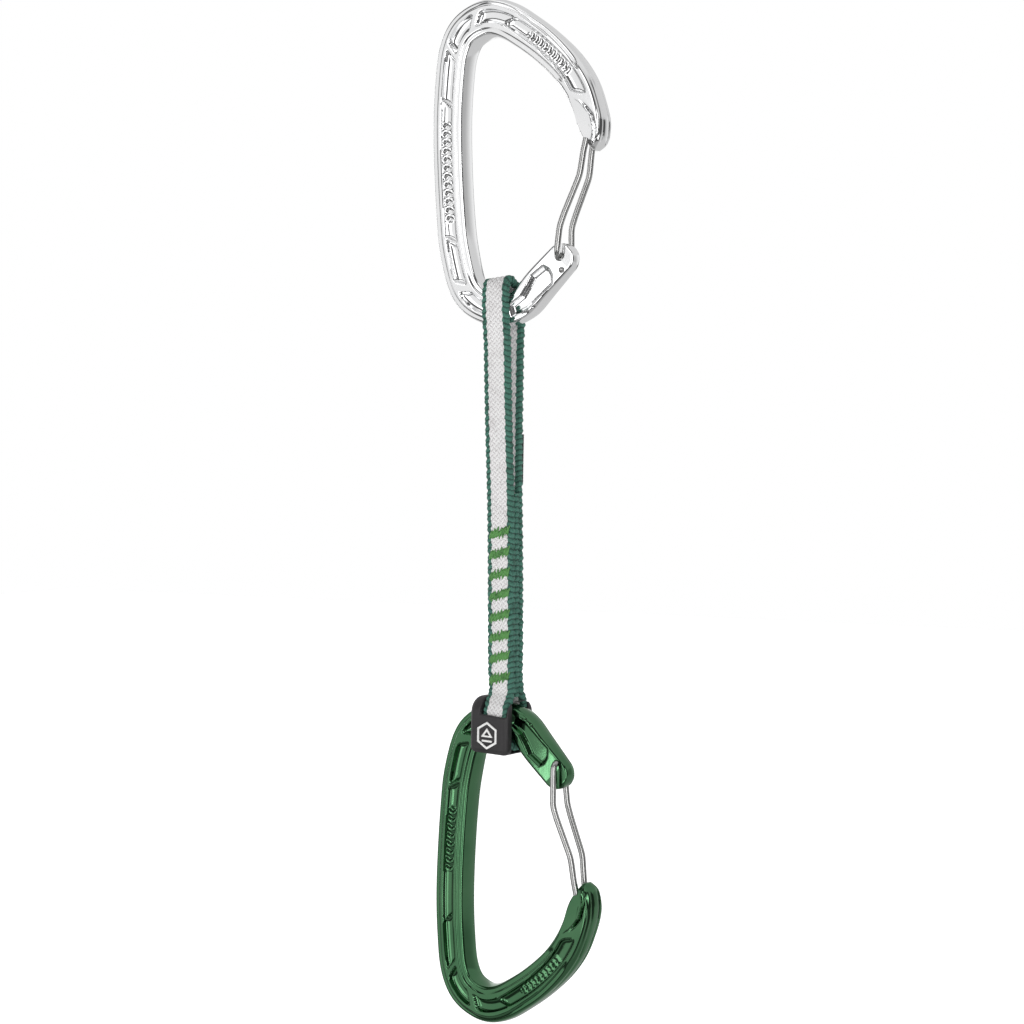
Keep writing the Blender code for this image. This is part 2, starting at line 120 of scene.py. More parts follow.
SHORT_PIVOT = (20.8, 20.8)
WIRE_RADIUS = 0.95
SHORT_FOOT = (20.0, 20.8)
LONG_FOOT = (21.1, 16.4)
FOOT_HOLE_RADIUS = 1.06
FOOT_HOLE_SIDES = 40
FOOT_HOLE_START = -6.0
LOWER_LEAN = math.radians(-1.0)
BODY_SHARP = 50.0
LEG_OFFSET = 3.85
NOSE_POCKET_HALF = 3.5
WALL_SHARE = 0.62
DISH_REACH = 2.0
NOSE_POCKET = ((25.0, 48.0), (30.1, 48.0), (30.3, 52.4), (30.7, 56.8), (29.9, 58.6), (25.0, 59.6))


def smoothstep(low, high, value):
    share = np.clip((value - low) / (high - low), 0.0, 1.0)
    return share * share * (3.0 - 2.0 * share)


def sloped(low, high, value):
    """A nearly straight ramp, eased a little at both ends."""
    share = np.clip((value - low) / (high - low), 0.0, 1.0)
    return share - 0.08 * np.sin(2 * math.pi * share)


def dished(wall, reach, inside):
    """A steep wall, then a floor that sinks gently towards the middle."""
    share = np.clip(inside / reach, 0.0, 1.0)
    return WALL_SHARE * sloped(0.0, wall, inside) + (1 - WALL_SHARE) * share * (2.0 - share)


def catmull_rom(a, b, c, d, share):
    """The point this share of the way from b to c, on a centripetal curve."""

    def between(p, q, start, end, t):
        return p + (q - p) * ((t - start) / (end - start))

    t1 = math.sqrt(np.linalg.norm(b - a))
    t2 = t1 + math.sqrt(np.linalg.norm(c - b))
    t3 = t2 + math.sqrt(np.linalg.norm(d - c))
    t = t1 + (t2 - t1) * share
    ab = between(a, b, 0.0, t1, t)
    bc = between(b, c, t1, t2, t)
    cd = between(c, d, t2, t3, t)
    return between(between(ab, bc, 0.0, t2, t), between(bc, cd, t1, t3, t), t1, t2, t)


def spline(rows, spacing):
    """Points on a smooth curve through the rows, about one spacing apart."""
    rows = [np.array(row, float) for row in rows]
    padded = [2 * rows[0] - rows[1], *rows, 2 * rows[-1] - rows[-2]]
    points = []
    for a, b, c, d in zip(padded, padded[1:], padded[2:], padded[3:]):
        steps = max(1, round(float(np.linalg.norm(c - b)) / spacing))
        points += [catmull_rom(a, b, c, d, step / steps) for step in range(steps)]
    return np.array([*points, rows[-1]])


def evenly(points, spacing, columns=2):
    """The same curve with its points evenly spaced along the first columns."""
    steps = np.linalg.norm(np.diff(points[:, :columns], axis=0), axis=1)
    places = np.concatenate([[0.0], np.cumsum(steps)])
    count = max(2, int(round(places[-1] / spacing)) + 1)
    wanted = np.linspace(0.0, places[-1], count)
    return np.column_stack([np.interp(wanted, places, column) for column in points.T])


def softened(points, sigma):
    """A curve smoothed along its length by sigma points, with its ends kept."""
    reach = int(4 * sigma)
    head = 2 * points[0] - points[reach:0:-1]
    tail = 2 * points[-1] - points[-2 : -reach - 2 : -1]
    long = np.vstack([head, points, tail])
    weights = np.exp(-0.5 * (np.arange(-reach, reach + 1) / sigma) ** 2)
    weights /= weights.sum()
    return np.column_stack([np.convolve(column, weights, "valid") for column in long.T])


def normals_of(path):
    """Unit normals, to the left of a path in a plane."""
    along = np.gradient(path, axis=0)
    along /= np.linalg.norm(along, axis=1)[:, None]
    return np.column_stack([-along[:, 1], along[:, 0]])


# ---- building meshes ----


def shade(mesh, sharp):
    """Smooth shading, with the edges past a sharp angle in degrees kept sharp."""
    mesh.shade_smooth()
    if sharp is not None:
        mesh.set_sharp_from_angle(angle=math.radians(sharp))


def mesh_object(name, points, faces, materials, face_materials=None, smooth=None):
    """One object from points in metres."""
    mesh = bpy.data.meshes.new(name)
    mesh.from_pydata([tuple(p) for p in np.asarray(points).tolist()], [], faces)
    for item in materials:
        mesh.materials.append(item)
    if face_materials is not None:
        mesh.polygons.foreach_set("material_index", np.asarray(face_materials, np.int32))
    shade(mesh, smooth)
    mesh.validate()
    made = bpy.data.objects.new(name, mesh)
    bpy.context.scene.collection.objects.link(made)
    return made


def ring_faces(rings, around):
    """Quads between closed rings of equally many points, with a cap at each end."""
    faces = []
    for i in range(rings - 1):
        low = i * around
        high = low + around
        for j in range(around):
            k = (j + 1) % around
            faces.append((low + j, high + j, high + k, low + k))
    faces.append(tuple(range(around)))
    faces.append(tuple(range(rings * around - 1, (rings - 1) * around - 1, -1)))
    return faces


def joined(shapes):
    """The points and faces of several shapes as one."""
    points, faces = [], []
    for shape_points, shape_faces in shapes:
        start = sum(len(p) for p in points)
        faces += [tuple(i + start for i in face) for face in shape_faces]
        points.append(shape_points)
    return np.vstack(points), faces


def finish_normals(made):
    bm = bmesh.new()
    bm.from_mesh(made.data)
    bmesh.ops.recalc_face_normals(bm, faces=bm.faces)
    bm.to_mesh(made.data)
    bm.free()
    return made


def applied(made, smooth=None):
    """The object with its modifiers made part of its mesh."""
    bpy.context.view_layer.update()
    seen = made.evaluated_get(bpy.context.evaluated_depsgraph_get())
    mesh = bpy.data.meshes.new_from_object(seen)
    made.modifiers.clear()
    made.data = mesh
    shade(mesh, smooth)
    return made


def cut(made, points, faces, smooth=None):
    """Takes a closed shape, in metres, away from the object."""
    cutter = finish_normals(mesh_object("cutter", points, faces, []))
    boolean = made.modifiers.new("cut", "BOOLEAN")
    boolean.object = cutter
    boolean.operation = "DIFFERENCE"
    boolean.solver = "EXACT"
    applied(made, smooth)
    bpy.data.objects.remove(cutter, do_unlink=True)
    return made


def prism(outline, low, high):
    """Points and faces of an outline of x and v, between two depths, in carabiner millimetres."""
    points = [(x, y, v) for y in (low, high) for x, v in outline]
    return np.array(points, float), ring_faces(2, len(outline))


def tube(path, radius, sides=20, rounded_ends=True):
    """Points and faces of a round wire along a path of points in space."""
    path = np.asarray(path, float)
    along = np.gradient(path, axis=0)
    along /= np.linalg.norm(along, axis=1)[:, None]
    across = np.cross(along[0], (0.31, 0.87, 0.38))
    across /= np.linalg.norm(across)
    turns = np.linspace(0, 2 * math.pi, sides, endpoint=False)
    rings = []
    radii = np.full(len(path), radius, float)
    centres = path.copy()
    if rounded_ends:
        angles = np.radians((80.0, 55.0, 28.0))
        start = [path[0] - along[0] * radius * math.sin(a) for a in angles]
        end = [path[-1] + along[-1] * radius * math.sin(a) for a in reversed(angles)]
        centres = np.vstack([start, path, end])
        along = np.vstack([[along[0]] * 3, along, [along[-1]] * 3])
        caps = radius * np.cos(angles)
        radii = np.concatenate([caps, radii, caps[::-1]])
    for centre, direction, wide in zip(centres, along, radii):
        across = across - direction * np.dot(across, direction)
        across /= np.linalg.norm(across)
        other = np.cross(direction, across)
        rings.append(centre + wide * (np.outer(np.cos(turns), across) + np.outer(np.sin(turns), other)))
    return np.vstack(rings), ring_faces(len(rings), sides)


def fillet(corners, radii, step=math.radians(9.0)):
    """Points in space with each inner corner turned into an arc of its radius."""
    corners = [Vector(corner) for corner in corners]
    points = [corners[0]]
    for before, corner, after, radius in zip(corners, corners[1:], corners[2:], radii):
        incoming = (corner - before).normalized()
        outgoing = (after - corner).normalized()
        angle = incoming.angle(outgoing)
        reach = min(
            radius * math.tan(angle / 2), 0.48 * min((corner - before).length, (after - corner).length)
        )
        start = corner - incoming * reach
        centre = corner + (outgoing - incoming).normalized() * (reach / math.sin(angle / 2))
        axis = incoming.cross(outgoing)
        steps = max(3, math.ceil(angle / step))
        for i in range(steps + 1):
            points.append(centre + Matrix.Rotation(angle * i / steps, 3, axis) @ (start - centre))
    return np.array([*points, corners[-1]], float)


# ---- where the two carabiners are, from the frame ----


class Place:
    """Turns carabiner millimetres into metres in the row frame."""

    def __init__(self, origin, turn):
        self.origin = np.array(origin, float)
        self.turn = np.array(turn, float)

    def __call__(self, points):
        points = np.atleast_2d(np.asarray(points, float)) - (0.0, 0.0, BASKET_CENTRE)
        return self.origin + points @ self.turn.T * MM


def upper_place():
    return Place(joints["upper_loop_swing"]["pos_m"], Matrix.Identity(3))


def lower_place():
    """The lower carabiner hangs upside down, a little twisted and leaning."""
    centre = Vector(joints["lower_carabiner_rock"]["pos_m"])
    hinge = Vector(joints["lower_gate_hinge"]["pos_m"]) - centre
    axis = joints["lower_gate_hinge"]["axis"]
    twist = math.atan2(-axis[0], axis[1])
    level = math.hypot(hinge.x, hinge.y)
    upright = math.atan2(BASKET_CENTRE - SHORT_PIVOT[1], SHORT_PIVOT[0])
    lean = upright - math.atan2(hinge.z, level) + LOWER_LEAN
    turn = (
        Matrix.Rotation(twist, 3, "Z")
        @ Matrix.Rotation(lean, 3, "Y")
        @ Matrix.Rotation(math.pi, 3, "X")
    )
    return Place(centre, turn)


UPPER = upper_place()
LOWER = lower_place()


# ---- materials ----


class Tree:
    """Short ways to add nodes to a node tree and to join them."""

    def __init__(self, tree):
        self.tree = tree

    def add(self, kind, inputs=None, **settings):
        node = self.tree.nodes.new(kind)
        for key, value in settings.items():
            setattr(node, key, value)
        for key, value in (inputs or {}).items():
            socket = node.inputs[key]
            if isinstance(value, bpy.types.NodeSocket):
                self.tree.links.new(value, socket)
            else:
                socket.default_value = value
        return node

    def ramp(self, value, *stops):
        node = self.add("ShaderNodeValToRGB", {"Fac": value})
        elements = node.color_ramp.elements
        while len(elements) > 1:
            elements.remove(elements[-1])
        for i, (position, colour) in enumerate(stops):
            element = elements[0] if i == 0 else elements.new(position)
            element.position = position
            element.color = (*colour, 1.0)
        return node.outputs["Color"]

    def map_range(self, value, low, high, new_low=0.0, new_high=1.0, **settings):
        ends = {"From Min": low, "From Max": high, "To Min": new_low, "To Max": new_high}
        return self.add("ShaderNodeMapRange", {"Value": value, **ends}, **settings).outputs["Result"]


class Nodes(Tree):
    """A material's nodes, with its Principled shader made ready."""

    def __init__(self, name, **sockets):
        self.material = bpy.data.materials.new(name)
        self.material.use_nodes = True
        super().__init__(self.material.node_tree)
        self.shader = self.tree.nodes["Principled BSDF"]
        for socket, value in sockets.items():
            self.shader.inputs[socket.replace("_", " ")].default_value = value
        self.object = self.add("ShaderNodeTexCoord").outputs["Object"]

    def link(self, output, socket):
        self.tree.links.new(output, self.shader.inputs[socket])

    def colour(self, value, low, dark, high, light):
        self.link(self.ramp(value, (low, dark), (high, light)), "Base Color")

    def roughness(self, value, *ends):
        self.link(self.map_range(value, *ends), "Roughness")

    def noise(self, scale, detail=3.0, stretch=(1.0, 1.0, 1.0), rough=0.55):
        mapped = self.add("ShaderNodeMapping", {"Vector": self.object, "Scale": stretch}).outputs[0]
        inputs = {"Vector": mapped, "Scale": scale, "Detail": detail, "Roughness": rough}
        return self.add("ShaderNodeTexNoise", inputs).outputs["Fac"]

    def bump(self, height, distance, strength=1.0, over=None):
        inputs = {"Height": height, "Distance": distance, "Strength": strength}
        if over is not None:
            inputs["Normal"] = over
        return self.add("ShaderNodeBump", inputs).outputs["Normal"]


def polished_metal(name, light, dark, roughness):
    """Forged, tumbled aluminium: slow colour change, fine grain and faint handling scratches."""
    made = Nodes(name, Metallic=1.0)
    cloudy = made.noise(55.0, 4.0)
    made.colour(cloudy, 0.3, dark, 0.7, light)
    scratch = made.noise(900.0, 2.0, (1.0, 1.0, 0.08), 0.6)
    mixed = made.add("ShaderNodeMath", {0: cloudy, 1: scratch}, operation="MULTIPLY").outputs[0]
    made.roughness(mixed, 0.15, 0.4, roughness, roughness * 1.9)
    grain = made.bump(made.noise(2600.0, 2.0), 0.00002, 0.25)
    made.link(made.bump(made.noise(160.0, 3.0), 0.00008, 0.3, grain), "Normal")
    return made.material


def wire_steel():
    made = Nodes("stainless_wire", Metallic=1.0)
    drawn = made.noise(420.0, 2.0, (1.0, 1.0, 0.1), 0.5)
    made.colour(drawn, 0.3, (0.43, 0.43, 0.425), 0.7, (0.46, 0.46, 0.455))
    made.roughness(drawn, 0.3, 0.7, 0.25, 0.29)
    made.link(made.bump(drawn, 0.000001, 0.02), "Normal")
    return made.material


def yarn(name, light, dark, sheen=0.3, roughness=0.75):
    """Fine filaments with slow unevenness in colour."""
    made = Nodes(name, Sheen_Weight=sheen, Sheen_Roughness=0.4)
    strands = made.noise(2600.0, 3.0, (1.0, 1.0, 0.25), 0.65)
    slow = made.noise(260.0, 3.0)
    mixed = made.add("ShaderNodeMath", {0: strands, 1: slow}, operation="ADD").outputs[0]
    made.colour(mixed, 0.7, dark, 1.0, light)
    made.roughness(strands, 0.3, 0.7, roughness - 0.12, roughness + 0.12)
    made.link(made.bump(strands, 0.00008, 0.6), "Normal")
    return made.material


def moulded_rubber():
    made = Nodes("moulded_rubber", Specular_IOR_Level=0.4)
    slow = made.noise(140.0, 4.0)
    made.colour(slow, 0.3, (0.018, 0.017, 0.018), 0.7, (0.034, 0.032, 0.034))
    made.roughness(slow, 0.3, 0.7, 0.42, 0.6)
    grain = made.bump(made.noise(3500.0, 2.0), 0.00004, 0.5)
    made.link(made.bump(slow, 0.0001, 0.3, grain), "Normal")
    return made.material


def printed_white():
    made = Nodes("printed_white")
    worn = made.noise(900.0, 4.0)
    made.colour(worn, 0.25, (0.55, 0.55, 0.54), 0.5, (0.8, 0.8, 0.79))
    made.roughness(worn, 0.3, 0.7, 0.35, 0.6)
    made.link(made.bump(worn, 0.00003, 0.5), "Normal")
    return made.material


SILVER = polished_metal("polished_aluminium", (0.90, 0.90, 0.905), (0.84, 0.845, 0.85), 0.06)
GREEN = polished_metal("green_anodised", (0.088, 0.205, 0.104), (0.060, 0.160, 0.078), 0.08)
STEEL = wire_steel()
WHITE_YARN = yarn("white_yarn", (0.74, 0.735, 0.735), (0.62, 0.61, 0.61), 0.05)
# Darker copies of the white and teal yarns: painted shade for the faces that lie in the weave's valleys.
WHITE_SHADED_YARN = yarn("white_yarn_painted_shade", (0.53, 0.51, 0.515), (0.41, 0.385, 0.39), 0.05)
TEAL_YARN = yarn("teal_yarn", (0.047, 0.160, 0.118), (0.017, 0.073, 0.050), 0.05)
TEAL_SHADED_YARN = yarn("teal_yarn_painted_shade", (0.018, 0.072, 0.052), (0.008, 0.032, 0.023), 0.05)
THREAD = yarn("bright_green_thread", (0.085, 0.265, 0.062), (0.028, 0.115, 0.022), 0.05, 0.5)
LABEL_YARN = yarn("black_label_weave", (0.03, 0.03, 0.03), (0.008, 0.008, 0.008))
RUBBER = moulded_rubber()
PRINT = printed_white()


# ---- carabiner body ----

# Forged pockets along both faces: start and end near the centreline, the outer and inner edge
# measured from the centreline at start and end, depth, end radius and wall width.
TRENCHES = (
    ((1.5, 5.2), (-12.3, 11.4), (2.4, 2.2), (-1.6, -1.9), 1.5, 1.2, 0.5),
    ((-13.9, 13.9), (-16.0, 27.0), (2.1, 2.1), (-2.0, -2.1), 1.7, 0.8, 0.5),
    ((-16.3, 27.5), (-18.9, 70.0), (2.1, 2.1), (-2.1, -2.1), 1.35, 0.6, 0.5),
    ((-18.9, 69.6), (-17.1, 84.9), (2.1, 2.1), (-2.1, -2.0), 1.7, 0.8, 0.5),
    ((-16.7, 86.9), (-10.0, 94.2), (2.4, 2.4), (-1.9, -1.9), 1.8, 1.0, 0.55),
    ((-8.0, 95.0), (3.4, 93.2), (2.2, 2.2), (-2.0, -1.9), 1.6, 0.8, 0.5),
    ((3.0, 93.4), (28.3, 68.9), (2.2, 2.3), (-1.8, -2.5), 1.3, 1.8, 0.55),
)
END_SLANT = 0.7
# A mark's middle and half length across the body, and how far its ends lean along it.
SPINE_STYLE = (0.25, 1.15, 0.55)
ARM_STYLE = (-0.1, 1.0, 0.3)
SPINE_RAISED = 0.6
ARM_RAISED = 0.36
MARK_EASE = 0.3
RIM_WIDTH = 2.5
RIM_DROP = 0.42
RIM_WALL = 0.4
LUG_RIM_LESS = 2.5
RIM_CHANGE = (18.0, 26.0)
RIM_END = (23.0, 77.0)
LUG_AXIS = ((8.0, 8.9), (20.8, 19.8), 5.1)
UPPER_MARKS = ((-17.3, 33.0), (-19.1, 64.5), 2.63)
LOWER_MARKS = ((-17.9, 34.5), (-18.9, 56.0), 2.6)
ARM_MARKS = ((9.5, 88.9), (24.0, 75.6), 1.9)
LUG_POCKET = ((14.7, 18.1), (16.7, 17.1), (17.8, 15.2), (18.0, 12.2), (9.6, 5.0), (4.0, 2.4), (3.0, 6.4))
LUG_POCKET_TOP = ((7.2, 9.2), (9.0, 12.0), (10.8, 15.3))
LUG_POCKET_DEPTH = 1.9
LUG_POCKET_WALL = 1.6
# The hollow round each wire end, its depth and the width of its wall.
FRONT_SLOT = (((20.2, 20.7), (20.9, 32.0), 1.5, 1.6), 1.1, 0.45)
BACK_SLOT = (((21.4, 17.0), (22.2, 30.0), 1.5, 1.6), 0.9, 0.5)
GROOVES = (1.75, 3.55)
GROOVE_SIZE = 0.42
# Heights between which each part of the nose starts, is whole, starts to fade and ends.
GROOVE_SPAN = (53.2, 55.0, 78.0, 90.0)
CHEEK_SPAN = (52.6, 54.4, 66.0, 68.6)
HOLLOW_SPAN = (53.4, 55.5, 63.5, 67.0)
CHEEK_DEPTH = 0.28
CHEEK_SLOPE = 0.10
HOLLOW_DEPTH = 0.85
HOLLOW_PLACE = 0.75
HOLLOW_SIZE = 0.42
GATE_SIDE = 15.0
ARM_SIDE = 8.0
NOSE_EDGE = ((68.5, -3.6), (66.0, -1.2), (62.0, 0.9), (58.0, 1.0), (55.0, 0.3), (53.0, -0.4))


def polygon_distance(points, x, v):
    """Distance inside a closed outline, negative outside."""
    points = np.array(points, float)
    nearest = np.full(x.shape, 1e9)
    inside = np.zeros(x.shape, bool)
    for (ax, av), (bx, bv) in zip(points, np.roll(points, -1, axis=0)):
        dx, dv = bx - ax, bv - av
        share = np.clip(((x - ax) * dx + (v - av) * dv) / (dx * dx + dv * dv), 0, 1)
        nearest = np.minimum(nearest, np.hypot(x - ax - share * dx, v - av - share * dv))
        crosses = (av > v) != (bv > v)
        at = ax + (v - av) / (dv if dv else 1e-9) * dx
        inside ^= crosses & (x < at)
    return np.where(inside, nearest, -nearest)


def capsule_distance(a, b, radius_a, radius_b, x, v):
    """Distance inside a round-ended slot whose radius may grow along it."""
    dx, dv = b[0] - a[0], b[1] - a[1]
    share = np.clip(((x - a[0]) * dx + (v - a[1]) * dv) / (dx * dx + dv * dv), 0, 1)
    reach = radius_a + (radius_b - radius_a) * share
    return reach - np.hypot(x - a[0] - share * dx, v - a[1] - share * dv)


def lug_end(first, second):
    """Rows that round off the lug, outermost first."""
    back = first[:2] - second[:2]
    back /= np.linalg.norm(back)
    rows = []
    for step in range(LUG_END_RINGS, 0, -1):
        swing = LUG_END_ANGLE * step / LUG_END_RINGS
        narrow = first[2] * math.cos(swing)
        left = min(first[2] / 2 * (1 - math.sin(swing)), first[4])
        thick = first[3] - 2 * (first[4] - math.sqrt(first[4] ** 2 - (first[4] - left) ** 2))
        centre = first[:2] + back * (first[2] / 2 * math.sin(swing))
        rows.append((*centre, narrow, thick, min(first[4], narrow / 3)))
    return np.array(rows)


def over_span(span, value):
    """1 between a span's two middle values, falling to 0 at its ends."""
    return smoothstep(span[0], span[1], value) * (1 - smoothstep(span[2], span[3], value))


def nose(n, x, v):
    """The flat cheek beside the gate, and the hollow that runs round it."""
    heights, edges = zip(*reversed(NOSE_EDGE))
    inward = np.interp(v, heights, edges) - n
    cheek = (CHEEK_DEPTH + CHEEK_SLOPE * np.maximum(inward, 0)) * smoothstep(-0.12, 0.12, inward)
    hollow = HOLLOW_DEPTH * np.exp(-(((inward + HOLLOW_PLACE) / HOLLOW_SIZE) ** 2))
    hollow = hollow * over_span(HOLLOW_SPAN, v)
    return (x > GATE_SIDE) * over_span(CHEEK_SPAN, v) * np.maximum(cheek, hollow)


def grooved(n, y, x, v):
    """Two grooves along the nose's outer side, which run out towards the top of the arm."""
    reach = over_span(GROOVE_SPAN, v) * (x > ARM_SIDE) * (n > 0)
    deep = sum(GROOVE_SIZE * np.exp(-(((y - at) / GROOVE_SIZE) ** 2)) for at in GROOVES)
    return n - reach * deep


class Body:
    """The fine surface of a carabiner body, in its own millimetres."""

    def __init__(self, spine_marks):
        self.spine_marks = spine_marks
        middle = softened(evenly(spline(BODY_ROWS, RING_PITCH), RING_PITCH), PATH_SOFTNESS / RING_PITCH)
        fine = int(FINE_LENGTH / RING_PITCH)
        self.rows = np.vstack([lug_end(middle[0], middle[END_SAMPLE]), middle[:fine], middle[fine::2]])
        self.path = self.rows[:, :2]
        steps = np.linalg.norm(np.diff(self.path, axis=0), axis=1)
        self.places = np.concatenate([[0.0], np.cumsum(steps)])
        self.outward = normals_of(self.path)

    def place_of(self, point):
        return self.places[np.argmin(np.linalg.norm(self.path - np.array(point), axis=1))]

    def section(self):
        """n and y of half a section for every ring, from the outer edge to the inner edge."""
        width, thick, corner = (self.rows[:, i][:, None] for i in (2, 3, 4))
        half, deep = width / 2, thick / 2
        crown = np.minimum(SIDE_CROWN, half * 0.2)
        up = np.linspace(0, 1, SIDE_POINTS, endpoint=False)[None, :]
        turn = np.linspace(0, math.pi / 2, CORNER_POINTS, endpoint=False)[None, :]
        over = np.linspace(1, -1, FACE_POINTS)[None, :]
        side_n = half - crown * up**2
        side_y = (deep - corner) * up
        corner_n = half - crown - corner * (1 - np.cos(turn))
        corner_y = deep - corner * (1 - np.sin(turn))
        face_n = (half - crown - corner) * over
        face_y = deep + 0 * over
        n = np.hstack([side_n, corner_n, face_n, -corner_n[:, ::-1], -side_n[:, ::-1]])
        y = np.hstack([side_y, corner_y, face_y, corner_y[:, ::-1], side_y[:, ::-1]])
        return n, y

    def trench(self, n, zone):
        """How deep one forged pocket is, with its slanted ends and rounded corners."""
        start, end, outer, inner, depth, radius, wall = zone
        low, high = sorted((self.place_of(start), self.place_of(end)))
        places = self.places[:, None]
        share = np.clip((places - low) / (high - low), 0, 1)
        top = outer[0] + (outer[1] - outer[0]) * share
        bottom = inner[0] + (inner[1] - inner[0]) * share
        slant = END_SLANT * (n - (top + bottom) / 2)
        along = np.minimum(places - low - slant, high - places + slant)
        across = np.minimum(top - n, n - bottom)
        corner = np.minimum(along, across)
        both = (along < radius) & (across < radius)
        rounded = radius - np.hypot(radius - along, radius - across)
        inside = np.where(both, rounded, corner)
        return depth * dished(wall, DISH_REACH, inside)

    def marks(self, n, zone, style, raised):
        """Raised chevrons and bars, in place of any lettering."""
        start, end, pitch = zone
        low, high = sorted((self.place_of(start), self.place_of(end)))
        places = self.places[:, None]
        middle, reach, lean = style
        phase = (places - low + lean * np.abs(n - middle)) / pitch
        within = np.abs(phase - np.round(phase)) * pitch
        bar = 1 - smoothstep(0.3 * pitch - 0.25, 0.3 * pitch + 0.25, within)
        cover = over_span((low, low + MARK_EASE, high - MARK_EASE, high), places)
        return raised * bar * cover * (1 - smoothstep(reach, reach + 0.35, np.abs(n - middle)))

    def recess(self, n, x, v, front):
        """How deep the face lies under the body's plain thickness."""
        deep = np.zeros(n.shape)
        for zone in TRENCHES:
            deep = np.maximum(deep, self.trench(n, zone))
        deep = deep - np.minimum(self.marks(n, self.spine_marks, SPINE_STYLE, SPINE_RAISED), deep)
        deep = deep - np.minimum(self.marks(n, ARM_MARKS, ARM_STYLE, ARM_RAISED), deep)
        deep = np.maximum(deep, self.rim(n, x, v))
        pocket = polygon_distance(LUG_POCKET + LUG_POCKET_TOP, x, v)
        deep = np.maximum(deep, LUG_POCKET_DEPTH * sloped(0.0, LUG_POCKET_WALL, pocket + 0.3))
        deep = np.maximum(deep, nose(n, x, v))
        slot, depth, wall = FRONT_SLOT if front else BACK_SLOT
        return np.maximum(deep, depth * smoothstep(-0.05, wall, capsule_distance(*slot, x, v)))

    def rim(self, n, x, v):
        """A low step beside both edges, which follows the lug's round end."""
        places = self.places[:, None]
        low, high, radius = LUG_AXIS
        edge = np.where(
            places < self.place_of(low),
            capsule_distance(low, high, radius, radius, x, v),
            self.rows[:, 2][:, None] / 2 - np.abs(n),
        )
        end = self.place_of(RIM_END)
        fading = 1 - smoothstep(end, end + 4.0, places)
        wide = RIM_WIDTH - LUG_RIM_LESS * (1 - smoothstep(*RIM_CHANGE, places))
        return RIM_DROP * fading * (1 - sloped(wide - RIM_WALL, wide, edge))

    def points(self):
        n, y = self.section()
        halves = []
        for front in (True, False):
            x = self.path[:, :1] + n * self.outward[:, :1]
            v = self.path[:, 1:] + n * self.outward[:, 1:]
            limit = self.rows[:, 3][:, None] / 2 - self.recess(n, x, v, front)
            depth = np.minimum(y, limit)
            moved = grooved(n, depth, x, v)
            x = self.path[:, :1] + moved * self.outward[:, :1]
            v = self.path[:, 1:] + moved * self.outward[:, 1:]
            halves.append(np.stack([x, -depth if front else depth, v], axis=2))
        front, back = halves
        return np.concatenate([front, back[:, -2:0:-1]], axis=1)


def carabiner(side, place, finish, marks):
    rings = Body(marks).points()
    count, around = rings.shape[:2]
    flat = rings.reshape(-1, 3)
    made = mesh_object(f"{side}_carabiner", place(flat), ring_faces(count, around), [finish])
    finish_normals(made)
    outline = fillet([(x, 0, v) for x, v in NOSE_POCKET], (0.3, 0.9, 1.2, 0.9))
    points, faces = prism([(p[0], p[2]) for p in outline], -NOSE_POCKET_HALF, NOSE_POCKET_HALF)
    cut(made, place(points), faces)
    turns = [2 * math.pi * step / FOOT_HOLE_SIDES for step in range(FOOT_HOLE_SIDES)]
    wide = FOOT_HOLE_RADIUS
    ring = [(LONG_FOOT[0] + wide * math.cos(t), LONG_FOOT[1] + wide * math.sin(t)) for t in turns]
    points, faces = prism(ring, FOOT_HOLE_START, LONG_STUB_END)
    cut(made, place(points), faces, BODY_SHARP)
    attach(made, f"{side}_carabiner")
    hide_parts(f"{side}_carabiner_body")
    return made


# ---- wire gate ----

LEG_ROWS = (
    (21.1, 29.5, 3.75),
    (22.6, 33.4, 3.6),
    (27.6, 44.5, 3.1),
    (28.6, 51.6, 2.65),
    (29.4, 55.6, 2.3),
)
GATE_END = (29.6, 57.5)
STUB_BEND = 1.4
LEG_BENDS = (6.0, 7.0, 9.0, 6.0, 5.0)
SHORT_STUB_END = 0.1
LONG_STUB_END = -2.5
GATE_FLEX = (22.6, 31.0)
WIRE_SHARP = 60.0


def gate(side, place):
    front = [(x, -y, v) for x, v, y in LEG_ROWS]
    back = [(x, y, v) for x, v, y in reversed(LEG_ROWS)]
    end_x, end_v = GATE_END
    end_y = LEG_ROWS[-1][2]
    corners = [
        (SHORT_FOOT[0], SHORT_STUB_END, SHORT_FOOT[1]),
        (SHORT_FOOT[0], -LEG_OFFSET, SHORT_FOOT[1]),
        *front,
        (end_x, -end_y, end_v),
        (end_x, end_y, end_v),
        *back,
        (LONG_FOOT[0], LEG_OFFSET, LONG_FOOT[1]),
        (LONG_FOOT[0], LONG_STUB_END, LONG_FOOT[1]),
    ]
    radii = [STUB_BEND, *LEG_BENDS, end_y, end_y, *reversed(LEG_BENDS), STUB_BEND]
    path = evenly(fillet(corners, radii), 0.2, 3)
    path = evenly(softened(path, 4.0), 0.4, 3)
    points, faces = tube(path, WIRE_RADIUS)
    made = mesh_object(f"{side}_gate_wire", place(points), faces, [STEEL], smooth=WIRE_SHARP)
    finish_normals(made)
    low, high = (place((SHORT_PIVOT[0], 0, v))[0] for v in GATE_FLEX)
    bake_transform(made)
    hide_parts(f"{side}_wire_gate")
    return made


carabiner("upper", UPPER, SILVER, UPPER_MARKS)
carabiner("lower", LOWER, GREEN, LOWER_MARKS)
gate("upper", UPPER)
gate("lower", LOWER)


# ---- woven tape ----

